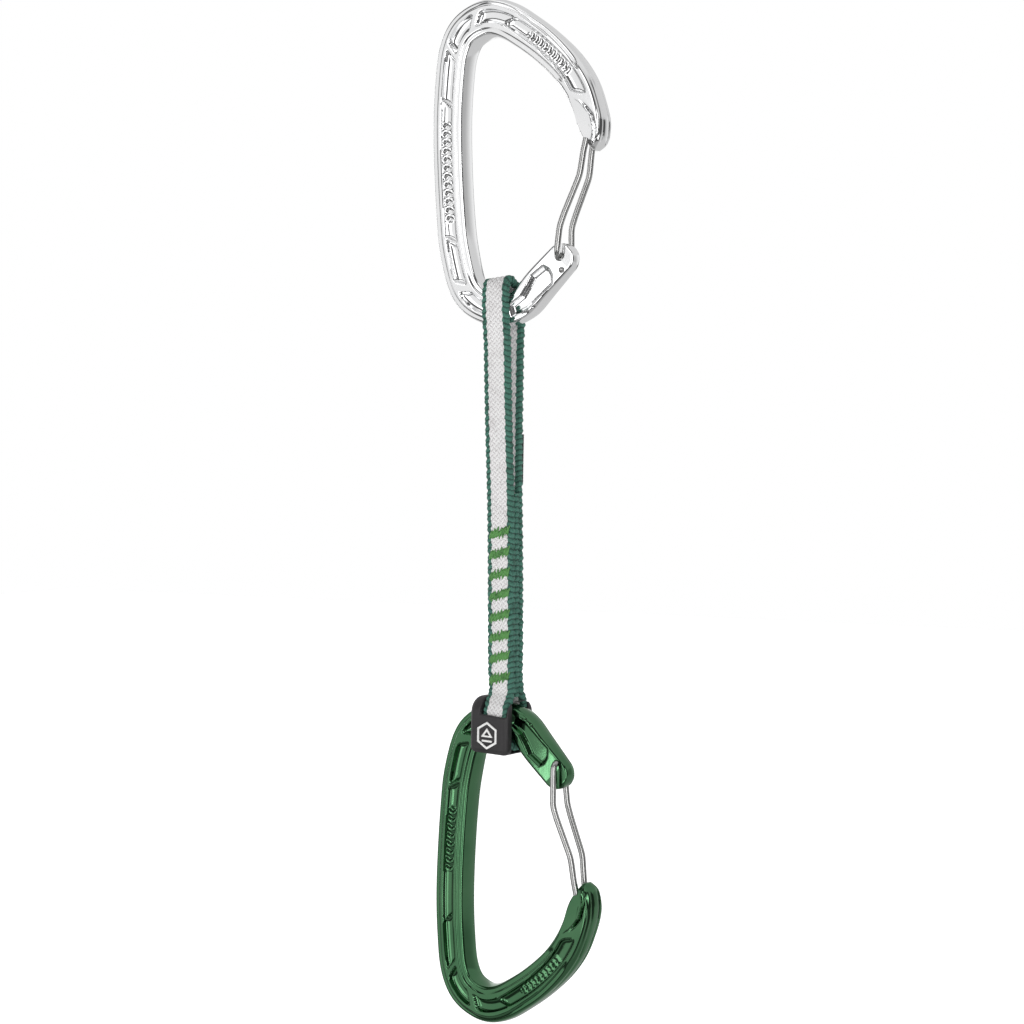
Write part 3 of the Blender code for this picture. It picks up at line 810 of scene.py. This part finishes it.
TAPE_HALF_WIDTH = 4.6
TAPE_DRIFT = -0.55
TAPE_THICKNESS = 2.3
TAPE_PITCH = 0.24
TAPE_FACE_POINTS = 52
TAPE_EDGE_POINTS = 9
LAYER = 2.5
EDGE_ROUND = 0.45
TAPE_SHARP = 70.0
SEAM_Z = -171.3
UPPER_BAR_Z = UPPER.origin[2] / MM - BASKET_CENTRE
STRAND = ((2.5, SEAM_Z), (2.5, -150.0), (2.5, -140.0), (3.2, -118.4), (3.9, -96.9))
UPPER_LOOP = ((3.95, -5.4), (4.35, -1.6), (5.0, 4.6))
UPPER_TURN = (
    (-5.0, 9.4), (-4.8, 12.0), (-4.1, 13.9), (-2.9, 14.5), (-1.6, 14.0),
    (0.3, 13.0), (2.4, 11.7), (4.3, 9.9), (5.0, 7.4),
)
UPPER_TURN_TILT = 0.1
LOWER_STRAND = (SEAM_Z, -180.0, -190.0, -196.0)
# Heights over which the upper strands drift sideways and the lower ones twist.
DRIFT_SPAN = (-170.0, -110.0)
TWIST_SPAN = (-186.0, -206.0)
LOWER_LOOP = ((2.5, -2.3), (3.7, -0.8), (4.8, 1.5), (5.0, 4.4))
LOWER_TURN = 8.8
LOOP_RADIUS = 5.0
STRIPE = 2.74
SCALLOP = (3.3, 0.16)
STITCH_COLUMN = 0.82
STITCH_ROW = 1.5
STITCH_HEIGHT = 0.24
CORD_PITCH = 1.65
CORD_HEIGHT = 0.26
STRIPE_JAG = 0.16
MIDDLE_LONGER = 2.2
LABEL_RIB = (0.05, 0.9)
LABEL_HALF_WIDTH = 3.8
LABEL_THICKNESS = 0.6
LABEL_OFFSET = TAPE_THICKNESS / 2 + 0.45
ACROSS = (1.0, 0.0, 0.0)
BARTACKS = 8
BARTACK_TOP = -152.0
BARTACK_PITCH = 6.43
BARTACK_SLANT = math.radians(13.5)
BARTACK_PINCH = 0.22


def turn_points(height, steps=14):
    """Half a circle over the bar, from front to back, as y and v."""
    turns = [math.pi * i / steps for i in range(1, steps)]
    return [(-LOOP_RADIUS * math.cos(t), height + LOOP_RADIUS * math.sin(t)) for t in turns]


def weave_height(places, across, edge):
    """Relief of the weave: slanting stitches in columns, and a corded selvedge."""
    column = across / STITCH_COLUMN
    frac = column - np.floor(column)
    lean = np.where(np.floor(column).astype(int) % 2 == 0, 1.0, -1.0)
    phase = places / STITCH_ROW + 0.45 * lean * (frac - 0.5) + 0.25 * lean
    stitch = (0.5 + 0.5 * np.cos(2 * math.pi * phase)) ** 0.7
    body = STITCH_HEIGHT * stitch * np.sin(math.pi * frac) ** 0.5
    cord_phase = places / CORD_PITCH + 0.22 * np.abs(across)
    cord = CORD_HEIGHT * (0.5 + 0.5 * np.cos(2 * math.pi * cord_phase)) ** 0.8
    share = smoothstep(STRIPE - 0.15, STRIPE + 0.15, np.abs(across))
    return body * (1 - share) + cord * share * np.where(edge, 1.0, 0.8)


def pinched(points, strength):
    """How far the tape's faces are drawn in beside each bartack."""
    drawn = 0.0
    for i in range(BARTACKS):
        height = (BARTACK_TOP - BARTACK_PITCH * i) * MM + points[..., 0] * math.tan(BARTACK_SLANT)
        drawn = drawn + np.exp(-(((points[..., 2] - height) / (1.3 * MM)) ** 2))
    return strength * drawn


def tape_section(half_width, thickness):
    """Places round a tape's section, across and through it, and the way each one faces."""
    deep = thickness / 2
    flat = half_width - EDGE_ROUND * deep
    over = np.linspace(flat, -flat, TAPE_FACE_POINTS)
    turn = np.linspace(math.pi / 2, -math.pi / 2, TAPE_EDGE_POINTS + 2)[1:-1]
    level = np.ones(over.shape)
    round_a = flat + EDGE_ROUND * deep * np.cos(turn)
    round_b = deep * np.sin(turn)
    a = np.concatenate([-over, round_a, over, -round_a])
    b = np.concatenate([deep * level, round_b, -deep * level, -round_b])
    out_a = np.concatenate([0 * over, np.cos(turn), 0 * over, -np.cos(turn)])
    out_b = np.concatenate([level, np.sin(turn), -level, -np.sin(turn)])
    return a, b, out_a, out_b


def tape_directions(centre, across):
    """Unit directions across and through a tape at each point of its middle line."""
    along = np.gradient(centre, axis=0)
    along /= np.linalg.norm(along, axis=1)[:, None]
    across = across - along * np.sum(across * along, axis=1)[:, None]
    across /= np.linalg.norm(across, axis=1)[:, None]
    return across, np.cross(across, along)


def tape_relief(places, a, is_edge, woven):
    """How far the yarns stand out at each point, and how far the edges wave."""
    length = places[:, None]
    if not woven:
        ribs = LABEL_RIB[0] * (0.5 + 0.5 * np.cos(2 * math.pi * (length + a[None, :]) / LABEL_RIB[1]))
        return ribs, 0 * length
    relief = weave_height(length, np.broadcast_to(a, (len(places), len(a))), is_edge[None, :])
    wave = SCALLOP[1] * np.sin(2 * math.pi * length / SCALLOP[0] + (a[None, :] > 0) * 2.2)
    return relief, wave


def yarn_kinds(places, a, relief):
    """The yarn of each face: 0 white, 1 teal, and 2 or 3 for darker copies of the same, painted shade in
    a valley of the weave.
    """
    middle_a = np.abs((a + np.roll(a, -1)) / 2)[None, :]
    middle_s = ((places[:-1] + places[1:]) / 2)[:, None]
    wavy = SCALLOP[1] * np.sin(2 * math.pi * middle_s / SCALLOP[0] + 1.0)
    jag = STRIPE_JAG * np.abs(((middle_s / STITCH_ROW) % 1) * 2 - 1)
    jagged = STRIPE + wavy + jag + 0 * middle_a
    mean = relief + np.roll(relief, -1, axis=1)
    mean = (mean[:-1] + mean[1:]) / 4
    # Faces that lie low in the weave get the darker yarn, as painted shade.
    valley = np.where(middle_a > jagged, 0.3 * CORD_HEIGHT, 0.28 * STITCH_HEIGHT)
    kinds = (middle_a > jagged) + 2 * (mean < valley)
    return kinds.reshape(-1).tolist() + [3, 3]


def tape_mesh(name, centre, across, half_width, thickness, pinch=0.0, woven=True):
    """A woven tape along points in millimetres, with the direction of its width at each point."""
    across, through = tape_directions(centre, across)
    places = np.concatenate([[0.0], np.cumsum(np.linalg.norm(np.diff(centre, axis=0), axis=1))])
    a, b, out_a, out_b = tape_section(half_width, thickness)
    relief, wave = tape_relief(places, a, out_a != 0, woven)
    near_edge = smoothstep(STRIPE, half_width, np.abs(a))[None, :]
    grow = 1 + (wave - 0.6 * CORD_HEIGHT * woven) / half_width * near_edge
    wide = a[None, :] * grow + out_a[None, :] * relief
    thick = b[None, :] + out_b[None, :] * (relief - 0.6 * STITCH_HEIGHT * woven)
    sideways = wide[..., None] * across[:, None, :]
    points = (centre[:, None, :] + sideways + thick[..., None] * through[:, None, :]) * MM
    if pinch:
        drawn = pinched(points, pinch) * out_b[None, :]
        points = points - (drawn[..., None] * through[:, None, :]) * MM
    faces = ring_faces(*points.shape[:2])
    flat_points = points.reshape(-1, 3)
    if not woven:
        return mesh_object(name, flat_points, faces, [LABEL_YARN], None, TAPE_SHARP)
    yarns = [WHITE_YARN, TEAL_YARN, WHITE_SHADED_YARN, TEAL_SHADED_YARN]
    return mesh_object(name, flat_points, faces, yarns, yarn_kinds(places, a, relief), TAPE_SHARP)


def smooth_path(points):
    path = evenly(spline(points, 0.5), TAPE_PITCH, 3)
    return evenly(softened(path, 1.2 / TAPE_PITCH), TAPE_PITCH, 3)


def upper_tape():
    """Both strands and the loop round the upper bar, down to the seam in the sewn stretch."""
    rise = [(0.0, -y, z) for y, z in STRAND] + [(0.0, -y, UPPER_BAR_Z + v) for y, v in UPPER_LOOP]
    over = [(0.0, y, UPPER_BAR_Z + v) for y, v in UPPER_TURN]
    fall = [(x, -y, z) for x, y, z in reversed(rise)]
    path = smooth_path(rise + over + fall)
    path[:, 0] = TAPE_DRIFT * smoothstep(*DRIFT_SPAN, path[:, 2])
    across = np.tile((1.0, 0.0, UPPER_TURN_TILT), (len(path), 1))
    made = tape_mesh("upper_tape", path, across, TAPE_HALF_WIDTH, TAPE_THICKNESS, BARTACK_PINCH)
    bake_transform(made)
    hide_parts("sling_upper_loop", "sling_front_layer", "sling_back_layer")


def lower_tape():
    """From the seam down through the keeper and round the lower bar, twisting to its carabiner."""
    front = [np.array((0.0, -LAYER, z)) for z in LOWER_STRAND]
    front += [LOWER((0.0, y, v))[0] / MM for y, v in LOWER_LOOP]
    over = [LOWER((0.0, -y, v))[0] / MM for y, v in turn_points(LOWER_TURN)]
    back = [LOWER((0.0, -y, v))[0] / MM for y, v in reversed(LOWER_LOOP)]
    back += [np.array((0.0, LAYER, z)) for z in reversed(LOWER_STRAND)]
    path = smooth_path(front + over + back)
    width = LOWER.turn @ ACROSS
    share = smoothstep(*TWIST_SPAN, path[:, 2])[:, None]
    across = (1 - share) * np.array(ACROSS) + share * width
    made = tape_mesh("lower_tape", path, across, TAPE_HALF_WIDTH, TAPE_THICKNESS, BARTACK_PINCH)
    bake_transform(made)
    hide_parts("sling_lower_loop")


def middle_tape():
    low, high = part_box("sling_middle_layer")
    foot = low.z / MM - MIDDLE_LONGER
    path = evenly(np.array([(0, 0, high.z / MM), (0, 0, foot)]), TAPE_PITCH, 3)
    across = np.tile(ACROSS, (len(path), 1))
    made = tape_mesh("middle_tape", path, across, TAPE_HALF_WIDTH - 0.1, TAPE_THICKNESS)
    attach(made, "sling")
    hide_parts("sling_middle_layer")


def label():
    """The black strip sewn behind the back strand."""
    low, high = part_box("sewn_label")
    strand = spline([(0, y + LABEL_OFFSET, z) for y, z in STRAND], 0.4)
    strand = strand[(strand[:, 2] > low.z / MM) & (strand[:, 2] < high.z / MM)]
    path = evenly(strand, TAPE_PITCH, 3)
    across = np.tile(ACROSS, (len(path), 1))
    made = tape_mesh("label_strip", path, across, LABEL_HALF_WIDTH, LABEL_THICKNESS, woven=False)
    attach(made, "sling")
    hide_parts("sewn_label")


# ---- bartacks ----

STROKES = 23
STROKE_HALF_HEIGHT = 1.4
THREAD_RADIUS = 0.24
BARTACK_HALF_WIDTH = 3.35
BARTACK_PROUD = 0.12


def stitches(number, side, random):
    """The zigzag thread of one bartack on one side of the tape, in millimetres."""
    height = BARTACK_TOP - BARTACK_PITCH * number
    lie = LAYER + TAPE_THICKNESS / 2 - BARTACK_PINCH + BARTACK_PROUD
    points = []
    for i in range(STROKES + 1):
        share = i / STROKES
        x = BARTACK_HALF_WIDTH * (2 * share - 1)
        up = 1.0 if i % 2 else -1.0
        cluster = 0.45 * math.sin(2 * math.pi * (5.0 * share + 0.3 * up))
        reach = up * (STROKE_HALF_HEIGHT + cluster + random.uniform(-0.3, 0.3))
        points.append((x + 0.35 * up, reach))
    path = []
    for (x0, z0), (x1, z1) in zip(points, points[1:]):
        for step in range(5):
            share = step / 5
            bulge = 0.42 * math.sin(math.pi * share) - 0.18
            path.append((x0 + (x1 - x0) * share, bulge, z0 + (z1 - z0) * share))
    slant = math.tan(BARTACK_SLANT)
    return np.array([(x, side * (lie + out), height + z + x * slant) for x, out, z in path])


def bartack(number):
    random = np.random.default_rng(number)
    threads = [tube(stitches(number, side, random), THREAD_RADIUS, 8) for side in (-1, 1)]
    points, faces = joined(threads)
    made = mesh_object(f"bartack_thread_{number + 1}", points * MM, faces, [THREAD])
    finish_normals(made)
    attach(made, "sling")
    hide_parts(f"bartack_{number + 1}")


# ---- rubber keeper ----

KEEPER_HALF_WIDTH = 7.4
KEEPER_HALF_DEPTH = 7.3
KEEPER_TOP = -1.7
KEEPER_BOTTOM = 15.8
KEEPER_EAR_RADIUS = 5.0
KEEPER_FOOT_RADIUS = 1.8
KEEPER_EDGE = 2.4
KEEPER_SHIFT = -1.8
KEEPER_PLATE_TOP = 3.7
KEEPER_PLATE_SLOPE = 0.05
KEEPER_WELL_HALF_WIDTH = 4.85
KEEPER_WELL_RADIUS = 6.4
KEEPER_BAR_HOLE = (4.1, -0.35, 15.0)
KEEPER_GRID = 0.24
KEEPER_MARGIN = 0.6
BADGE_MIDDLE = 9.9
BADGE_RADIUS = 4.3
BADGE_LINE = 0.75
BADGE_HEIGHT = 0.45
BADGE_SUNK = 0.12


def net_points(value, inside):
    """A point in each grid cell that the surface crosses, in steps, and each cell's number."""
    cells = np.array(value.shape) - 1

    def seen_from(array, corner):
        return array[tuple(slice(c, c + n) for c, n in zip(corner, cells))]

    total = np.zeros((*cells, 3))
    hits = np.zeros(tuple(cells))
    for corner in np.ndindex(2, 2, 2):
        for axis in range(3):
            if corner[axis]:
                continue
            other = tuple(c + (n == axis) for n, c in enumerate(corner))
            here, there = seen_from(value, corner), seen_from(value, other)
            crossed = seen_from(inside, corner) != seen_from(inside, other)
            share = here / np.where(crossed, here - there, 1.0)
            place = np.array(corner) + share[..., None] * (np.array(other) - corner)
            total += np.where(crossed[..., None], place, 0.0)
            hits += crossed
    active = hits > 0
    numbers = np.full(tuple(cells), -1)
    numbers[active] = np.arange(int(active.sum()))
    return np.argwhere(active) + total[active] / hits[active][:, None], numbers


def net_faces(inside, numbers, axis):
    """A quad round every grid edge along the axis that the surface crosses."""
    one, two = (axis + 1) % 3, (axis + 2) % 3
    near = np.take(inside, range(inside.shape[axis] - 1), axis)
    far = np.take(inside, range(1, inside.shape[axis]), axis)
    edges = np.argwhere(near != far)
    corners = []
    for back_one, back_two in ((0, 0), (1, 0), (1, 1), (0, 1)):
        cell = edges.copy()
        cell[:, one] -= back_one
        cell[:, two] -= back_two
        corners.append(numbers[tuple(cell.T)])
    quads = np.stack(corners, axis=1)
    outwards = ~near[tuple(edges.T)]
    quads[outwards] = quads[outwards][:, ::-1]
    return quads.tolist()


def surface_net(solid, low, high, step):
    """Points and faces of a closed surface where a distance function passes through nought."""
    axes = [np.arange(start, end + step, step) for start, end in zip(low, high)]
    value = solid(*np.meshgrid(*axes, indexing="ij"))
    inside = value < 0
    points, numbers = net_points(value, inside)
    faces = [face for axis in range(3) for face in net_faces(inside, numbers, axis)]
    return np.array(low) + step * points, faces


def either(a, b, rounding):
    """The larger of two distances, with the edge where they meet rounded."""
    return np.maximum(a, b) + np.maximum(rounding - np.abs(a - b), 0.0) ** 2 / (4 * rounding)


def keeper_distance(x, y, v):
    """Distance out of the rubber, in the lower carabiner's millimetres."""
    middle = (KEEPER_TOP + KEEPER_BOTTOM) / 2
    radius = np.where(v < middle, KEEPER_EAR_RADIUS, KEEPER_FOOT_RADIUS)
    along = np.abs(y) - KEEPER_HALF_DEPTH + radius
    up = np.abs(v - middle) - (KEEPER_BOTTOM - KEEPER_TOP) / 2 + radius
    profile = np.hypot(np.maximum(along, 0), np.maximum(up, 0)) - radius
    profile = profile + np.minimum(np.maximum(along, up), 0)
    outside = either(profile, np.abs(x - KEEPER_SHIFT) - KEEPER_HALF_WIDTH, KEEPER_EDGE)
    between = np.abs(x + 0.1) - KEEPER_WELL_HALF_WIDTH
    arch = np.where(v < LOWER_TURN, np.abs(y), np.hypot(y, v - LOWER_TURN)) - KEEPER_WELL_RADIUS
    well = either(between, arch, 0.5)
    window = either(between, v - KEEPER_PLATE_TOP - KEEPER_PLATE_SLOPE * x, 1.0)
    half, top, bottom = KEEPER_BAR_HOLE
    hole = either(np.abs(y) - half, np.abs(v - (top + bottom) / 2) - (bottom - top) / 2, 0.8)
    return either(outside, -np.minimum(np.minimum(well, window), hole), 0.7)


def keeper():
    """A moulded sleeve: a tape well from above, open at front and back, with the bar's hole."""
    wide, deep = KEEPER_HALF_WIDTH + KEEPER_MARGIN, KEEPER_HALF_DEPTH + KEEPER_MARGIN
    low = (KEEPER_SHIFT - wide, -deep, KEEPER_TOP - KEEPER_MARGIN)
    high = (KEEPER_SHIFT + wide, deep, KEEPER_BOTTOM + KEEPER_MARGIN)
    points, faces = surface_net(keeper_distance, low, high, KEEPER_GRID)
    made = mesh_object("keeper_sleeve", LOWER(points), faces, [RUBBER])
    finish_normals(made)
    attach(made, "lower_loop")
    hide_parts("rubber_keeper")


def hexagon(radius):
    turns = [math.pi * (step / 3 + 1 / 6) for step in range(6)]
    return [(radius * math.cos(t), BADGE_MIDDLE + radius * math.sin(t)) for t in turns]


def ring_prism(outer, inner, low, high):
    """Points and faces of a flat ring between two outlines with equally many corners."""
    count = len(outer)
    points = [(x, y, v) for y in (low, high) for loop in (outer, inner) for x, v in loop]
    faces = []
    for j in range(count):
        k = (j + 1) % count
        for a, b in ((0, 1), (1, 3), (3, 2), (2, 0)):
            faces.append((a * count + j, a * count + k, b * count + k, b * count + j))
    return np.array(points, float), faces


def badge():
    """A plain hexagon round a peak and a line: a generic mark."""
    low = KEEPER_HALF_DEPTH - BADGE_SUNK
    high = low + BADGE_HEIGHT
    shapes = [ring_prism(hexagon(BADGE_RADIUS), hexagon(BADGE_RADIUS - BADGE_LINE), low, high)]
    peak = [(-2.2, BADGE_MIDDLE + 0.5), (0.0, BADGE_MIDDLE - 2.3), (2.2, BADGE_MIDDLE + 0.5)]
    inner = [(-1.15, BADGE_MIDDLE), (0.0, BADGE_MIDDLE - 1.35), (1.15, BADGE_MIDDLE)]
    shapes.append(ring_prism(peak, inner, low, high))
    top, bottom = BADGE_MIDDLE + 1.4, BADGE_MIDDLE + 2.0
    line = [(-1.9, top), (1.9, top), (1.9, bottom), (-1.9, bottom)]
    shapes.append(prism(line, low, high))
    points, faces = joined(shapes)
    made = mesh_object("keeper_mark", LOWER(points + (KEEPER_SHIFT, 0, 0)), faces, [PRINT])
    finish_normals(made)
    bevel = made.modifiers.new("edges", "BEVEL")
    bevel.width = 0.1 * MM
    bevel.segments = 2
    applied(made, 40.0)
    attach(made, "lower_loop")
    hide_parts("keeper_badge")


upper_tape()
lower_tape()
middle_tape()
label()
for number in range(BARTACKS):
    bartack(number)
keeper()
badge()


# ---- camera ----

VIEW_AZIMUTH = math.radians(30.0)
VIEW_RISE = math.radians(1.5)
VIEW_DISTANCE = 0.5854
VIEW_SIDE = 0.0020
VIEW_HEIGHT = -0.1458
VIEW_LENS = 66.27


def camera():
    right = Vector((math.cos(VIEW_AZIMUTH), math.sin(VIEW_AZIMUTH), 0))
    aim = right * VIEW_SIDE + Vector((0, 0, VIEW_HEIGHT))
    level = Vector((right.y, -right.x, 0))
    back = level * math.cos(VIEW_RISE) + Vector((0, 0, math.sin(VIEW_RISE)))
    data = bpy.data.cameras.new("camera")
    data.lens = VIEW_LENS
    data.sensor_width = 36.0
    data.clip_start = 0.01
    made = bpy.data.objects.new("camera", data)
    made.location = aim + back * VIEW_DISTANCE
    made.rotation_euler = back.to_track_quat("Z", "Y").to_euler()
    bpy.context.scene.collection.objects.link(made)
    bpy.context.scene.camera = made


# ---- studio ----

# Brightness round the studio by azimuth in degrees, 0 in front and 90 on the gates' side.
SURROUND = (
    (0, 0.16), (6, 0.10), (17, 0.10), (25, 1.6), (54, 2.2), (62, 0.10), (102, 0.06),
    (110, 0.42), (134, 0.48), (150, 0.70), (164, 0.92), (172, 0.92), (176, 0.06), (188, 0.08),
    (194, 1.0), (229, 1.0), (232, 0.05), (241, 0.08), (247, 1.5), (268, 1.4), (277, 0.16),
    (295, 0.20), (304, 0.88), (332, 0.92), (337, 2.3), (350, 2.3), (355, 0.25),
)
# Brightness by height: where a change starts and ends, and its level.
FRONT_DARK = (0.34, 0.44, 0.10)
FRONT_CAPS = (0.66, 0.80, 0.80)
FRONT_BELOW = (-0.62, -0.80, 0.40)
BACK_ABOVE = (0.25, 0.33, 0.7)
BACK_BELOW = (-0.13, -0.22, 0.62)
BACK_STARTS = (-0.12, 0.18)
FLOOR_DROP = 0.14
FLOOR_HALF = 3.0


def heading(studio, split):
    """How far round a direction lies, as a share of a turn that starts at the back."""
    reverse = studio.add("ShaderNodeMath", {0: split["Y"], 1: -1.0}, operation="MULTIPLY").outputs[0]
    angle = studio.add("ShaderNodeMath", {0: split["X"], 1: reverse}, operation="ARCTAN2").outputs[0]
    return studio.map_range(angle, -math.pi, math.pi)


def changed(studio, colour, value, low, high, level):
    """A colour that turns into a level, or another colour, as a value goes from low to high."""
    share = studio.map_range(value, low, high, interpolation_type="SMOOTHSTEP")
    if not isinstance(level, bpy.types.NodeSocket):
        level = (level, level, level, 1.0)
    mixed = studio.add("ShaderNodeMixRGB", {"Fac": share, "Color1": colour, "Color2": level})
    return mixed.outputs["Color"]


def surroundings():
    """Strips of light and shade for the metal to mirror, split into a front and a back half."""
    world = bpy.data.worlds.new("studio")
    bpy.context.scene.world = world
    world.use_nodes = True
    studio = Tree(world.node_tree)
    coordinates = studio.add("ShaderNodeTexCoord").outputs["Generated"]
    split = studio.add("ShaderNodeSeparateXYZ", {0: coordinates}).outputs
    stops = sorted((((azimuth + 180) % 360) / 360, [level] * 3) for azimuth, level in SURROUND)
    strips = studio.ramp(heading(studio, split), *stops)
    height = split["Z"]
    away = studio.add("ShaderNodeMath", {0: height}, operation="ABSOLUTE").outputs[0]
    front = changed(studio, strips, away, *FRONT_DARK)
    front = changed(studio, front, away, *FRONT_CAPS)
    front = changed(studio, front, height, *FRONT_BELOW)
    back = changed(studio, strips, height, *BACK_ABOVE)
    back = changed(studio, back, height, *BACK_BELOW)
    colour = changed(studio, front, split["Y"], *BACK_STARTS, back)
    studio.tree.links.new(colour, studio.tree.nodes["Background"].inputs["Color"])


def put_light(name, power, wide, tall, location, backwards):
    """A rectangular lamp that shines against the direction given."""
    data = bpy.data.lights.new(name, "AREA")
    data.shape = "RECTANGLE"
    data.size = wide
    data.size_y = tall
    data.energy = power
    made = bpy.data.objects.new(name, data)
    made.location = location
    made.rotation_euler = backwards.to_track_quat("Z", "Y").to_euler()
    bpy.context.scene.collection.objects.link(made)
    return made


def soft_box(name, azimuth, height, distance, wide, tall, power):
    """A lamp facing the middle of the quickdraw."""
    angle = math.radians(azimuth)
    offset = Vector((math.sin(angle) * distance, -math.cos(angle) * distance, height))
    put_light(name, power, wide, tall, Vector((0, 0, VIEW_HEIGHT)) + offset, offset)


GLEAM_POINT = (21.0, 2.6, 19.6)
GLEAM_TILT = 4.9
LUG_DIRECTION = (0.76, 0.65)
GLEAM_DISTANCE = 0.3
GLEAM_SIZE = 0.028
GLEAM_POWER = 0.0113


def lug_gleam():
    """A small box placed where the lower lug's sloping face mirrors it to the camera."""
    point = Vector(LOWER(GLEAM_POINT)[0])
    slope = math.tan(math.radians(GLEAM_TILT))
    along_x, along_v = LUG_DIRECTION
    normal = Vector(LOWER.turn @ (along_x * slope, 1.0, along_v * slope)).normalized()
    seen = (bpy.context.scene.camera.location - point).normalized()
    towards = 2 * seen.dot(normal) * normal - seen
    place = point + towards * GLEAM_DISTANCE
    made = put_light("lug_gleam", GLEAM_POWER, GLEAM_SIZE, GLEAM_SIZE, place, towards)
    made.visible_camera = False


def plain_paper():
    made = Nodes("pale_paper", Roughness=0.9)
    made.colour(made.noise(3.0), 0.3, (0.88, 0.88, 0.88), 0.7, (0.9, 0.9, 0.9))
    made.shader.inputs["Emission Color"].default_value = (1, 1, 1, 1)
    made.shader.inputs["Emission Strength"].default_value = 0.75
    return made.material


def floor():
    low = cad_box[0][2] - FLOOR_DROP
    corners = ((-1, -1), (1, -1), (1, 1), (-1, 1))
    points = [(x * FLOOR_HALF, y * FLOOR_HALF, low) for x, y in corners]
    made = mesh_object("floor", points, [(0, 1, 2, 3)], [plain_paper()])
    made.visible_glossy = False


camera()
surroundings()
soft_box("side_box", 47, 0.05, 0.9, 0.07, 0.9, 1.0)
soft_box("left_box", -104, 0.1, 0.9, 0.08, 0.9, 0.7)
soft_box("high_box", -25, 0.75, 0.7, 0.3, 0.3, 0.3)
lug_gleam()
floor()
bpy.context.scene.view_settings.view_transform = "Standard"
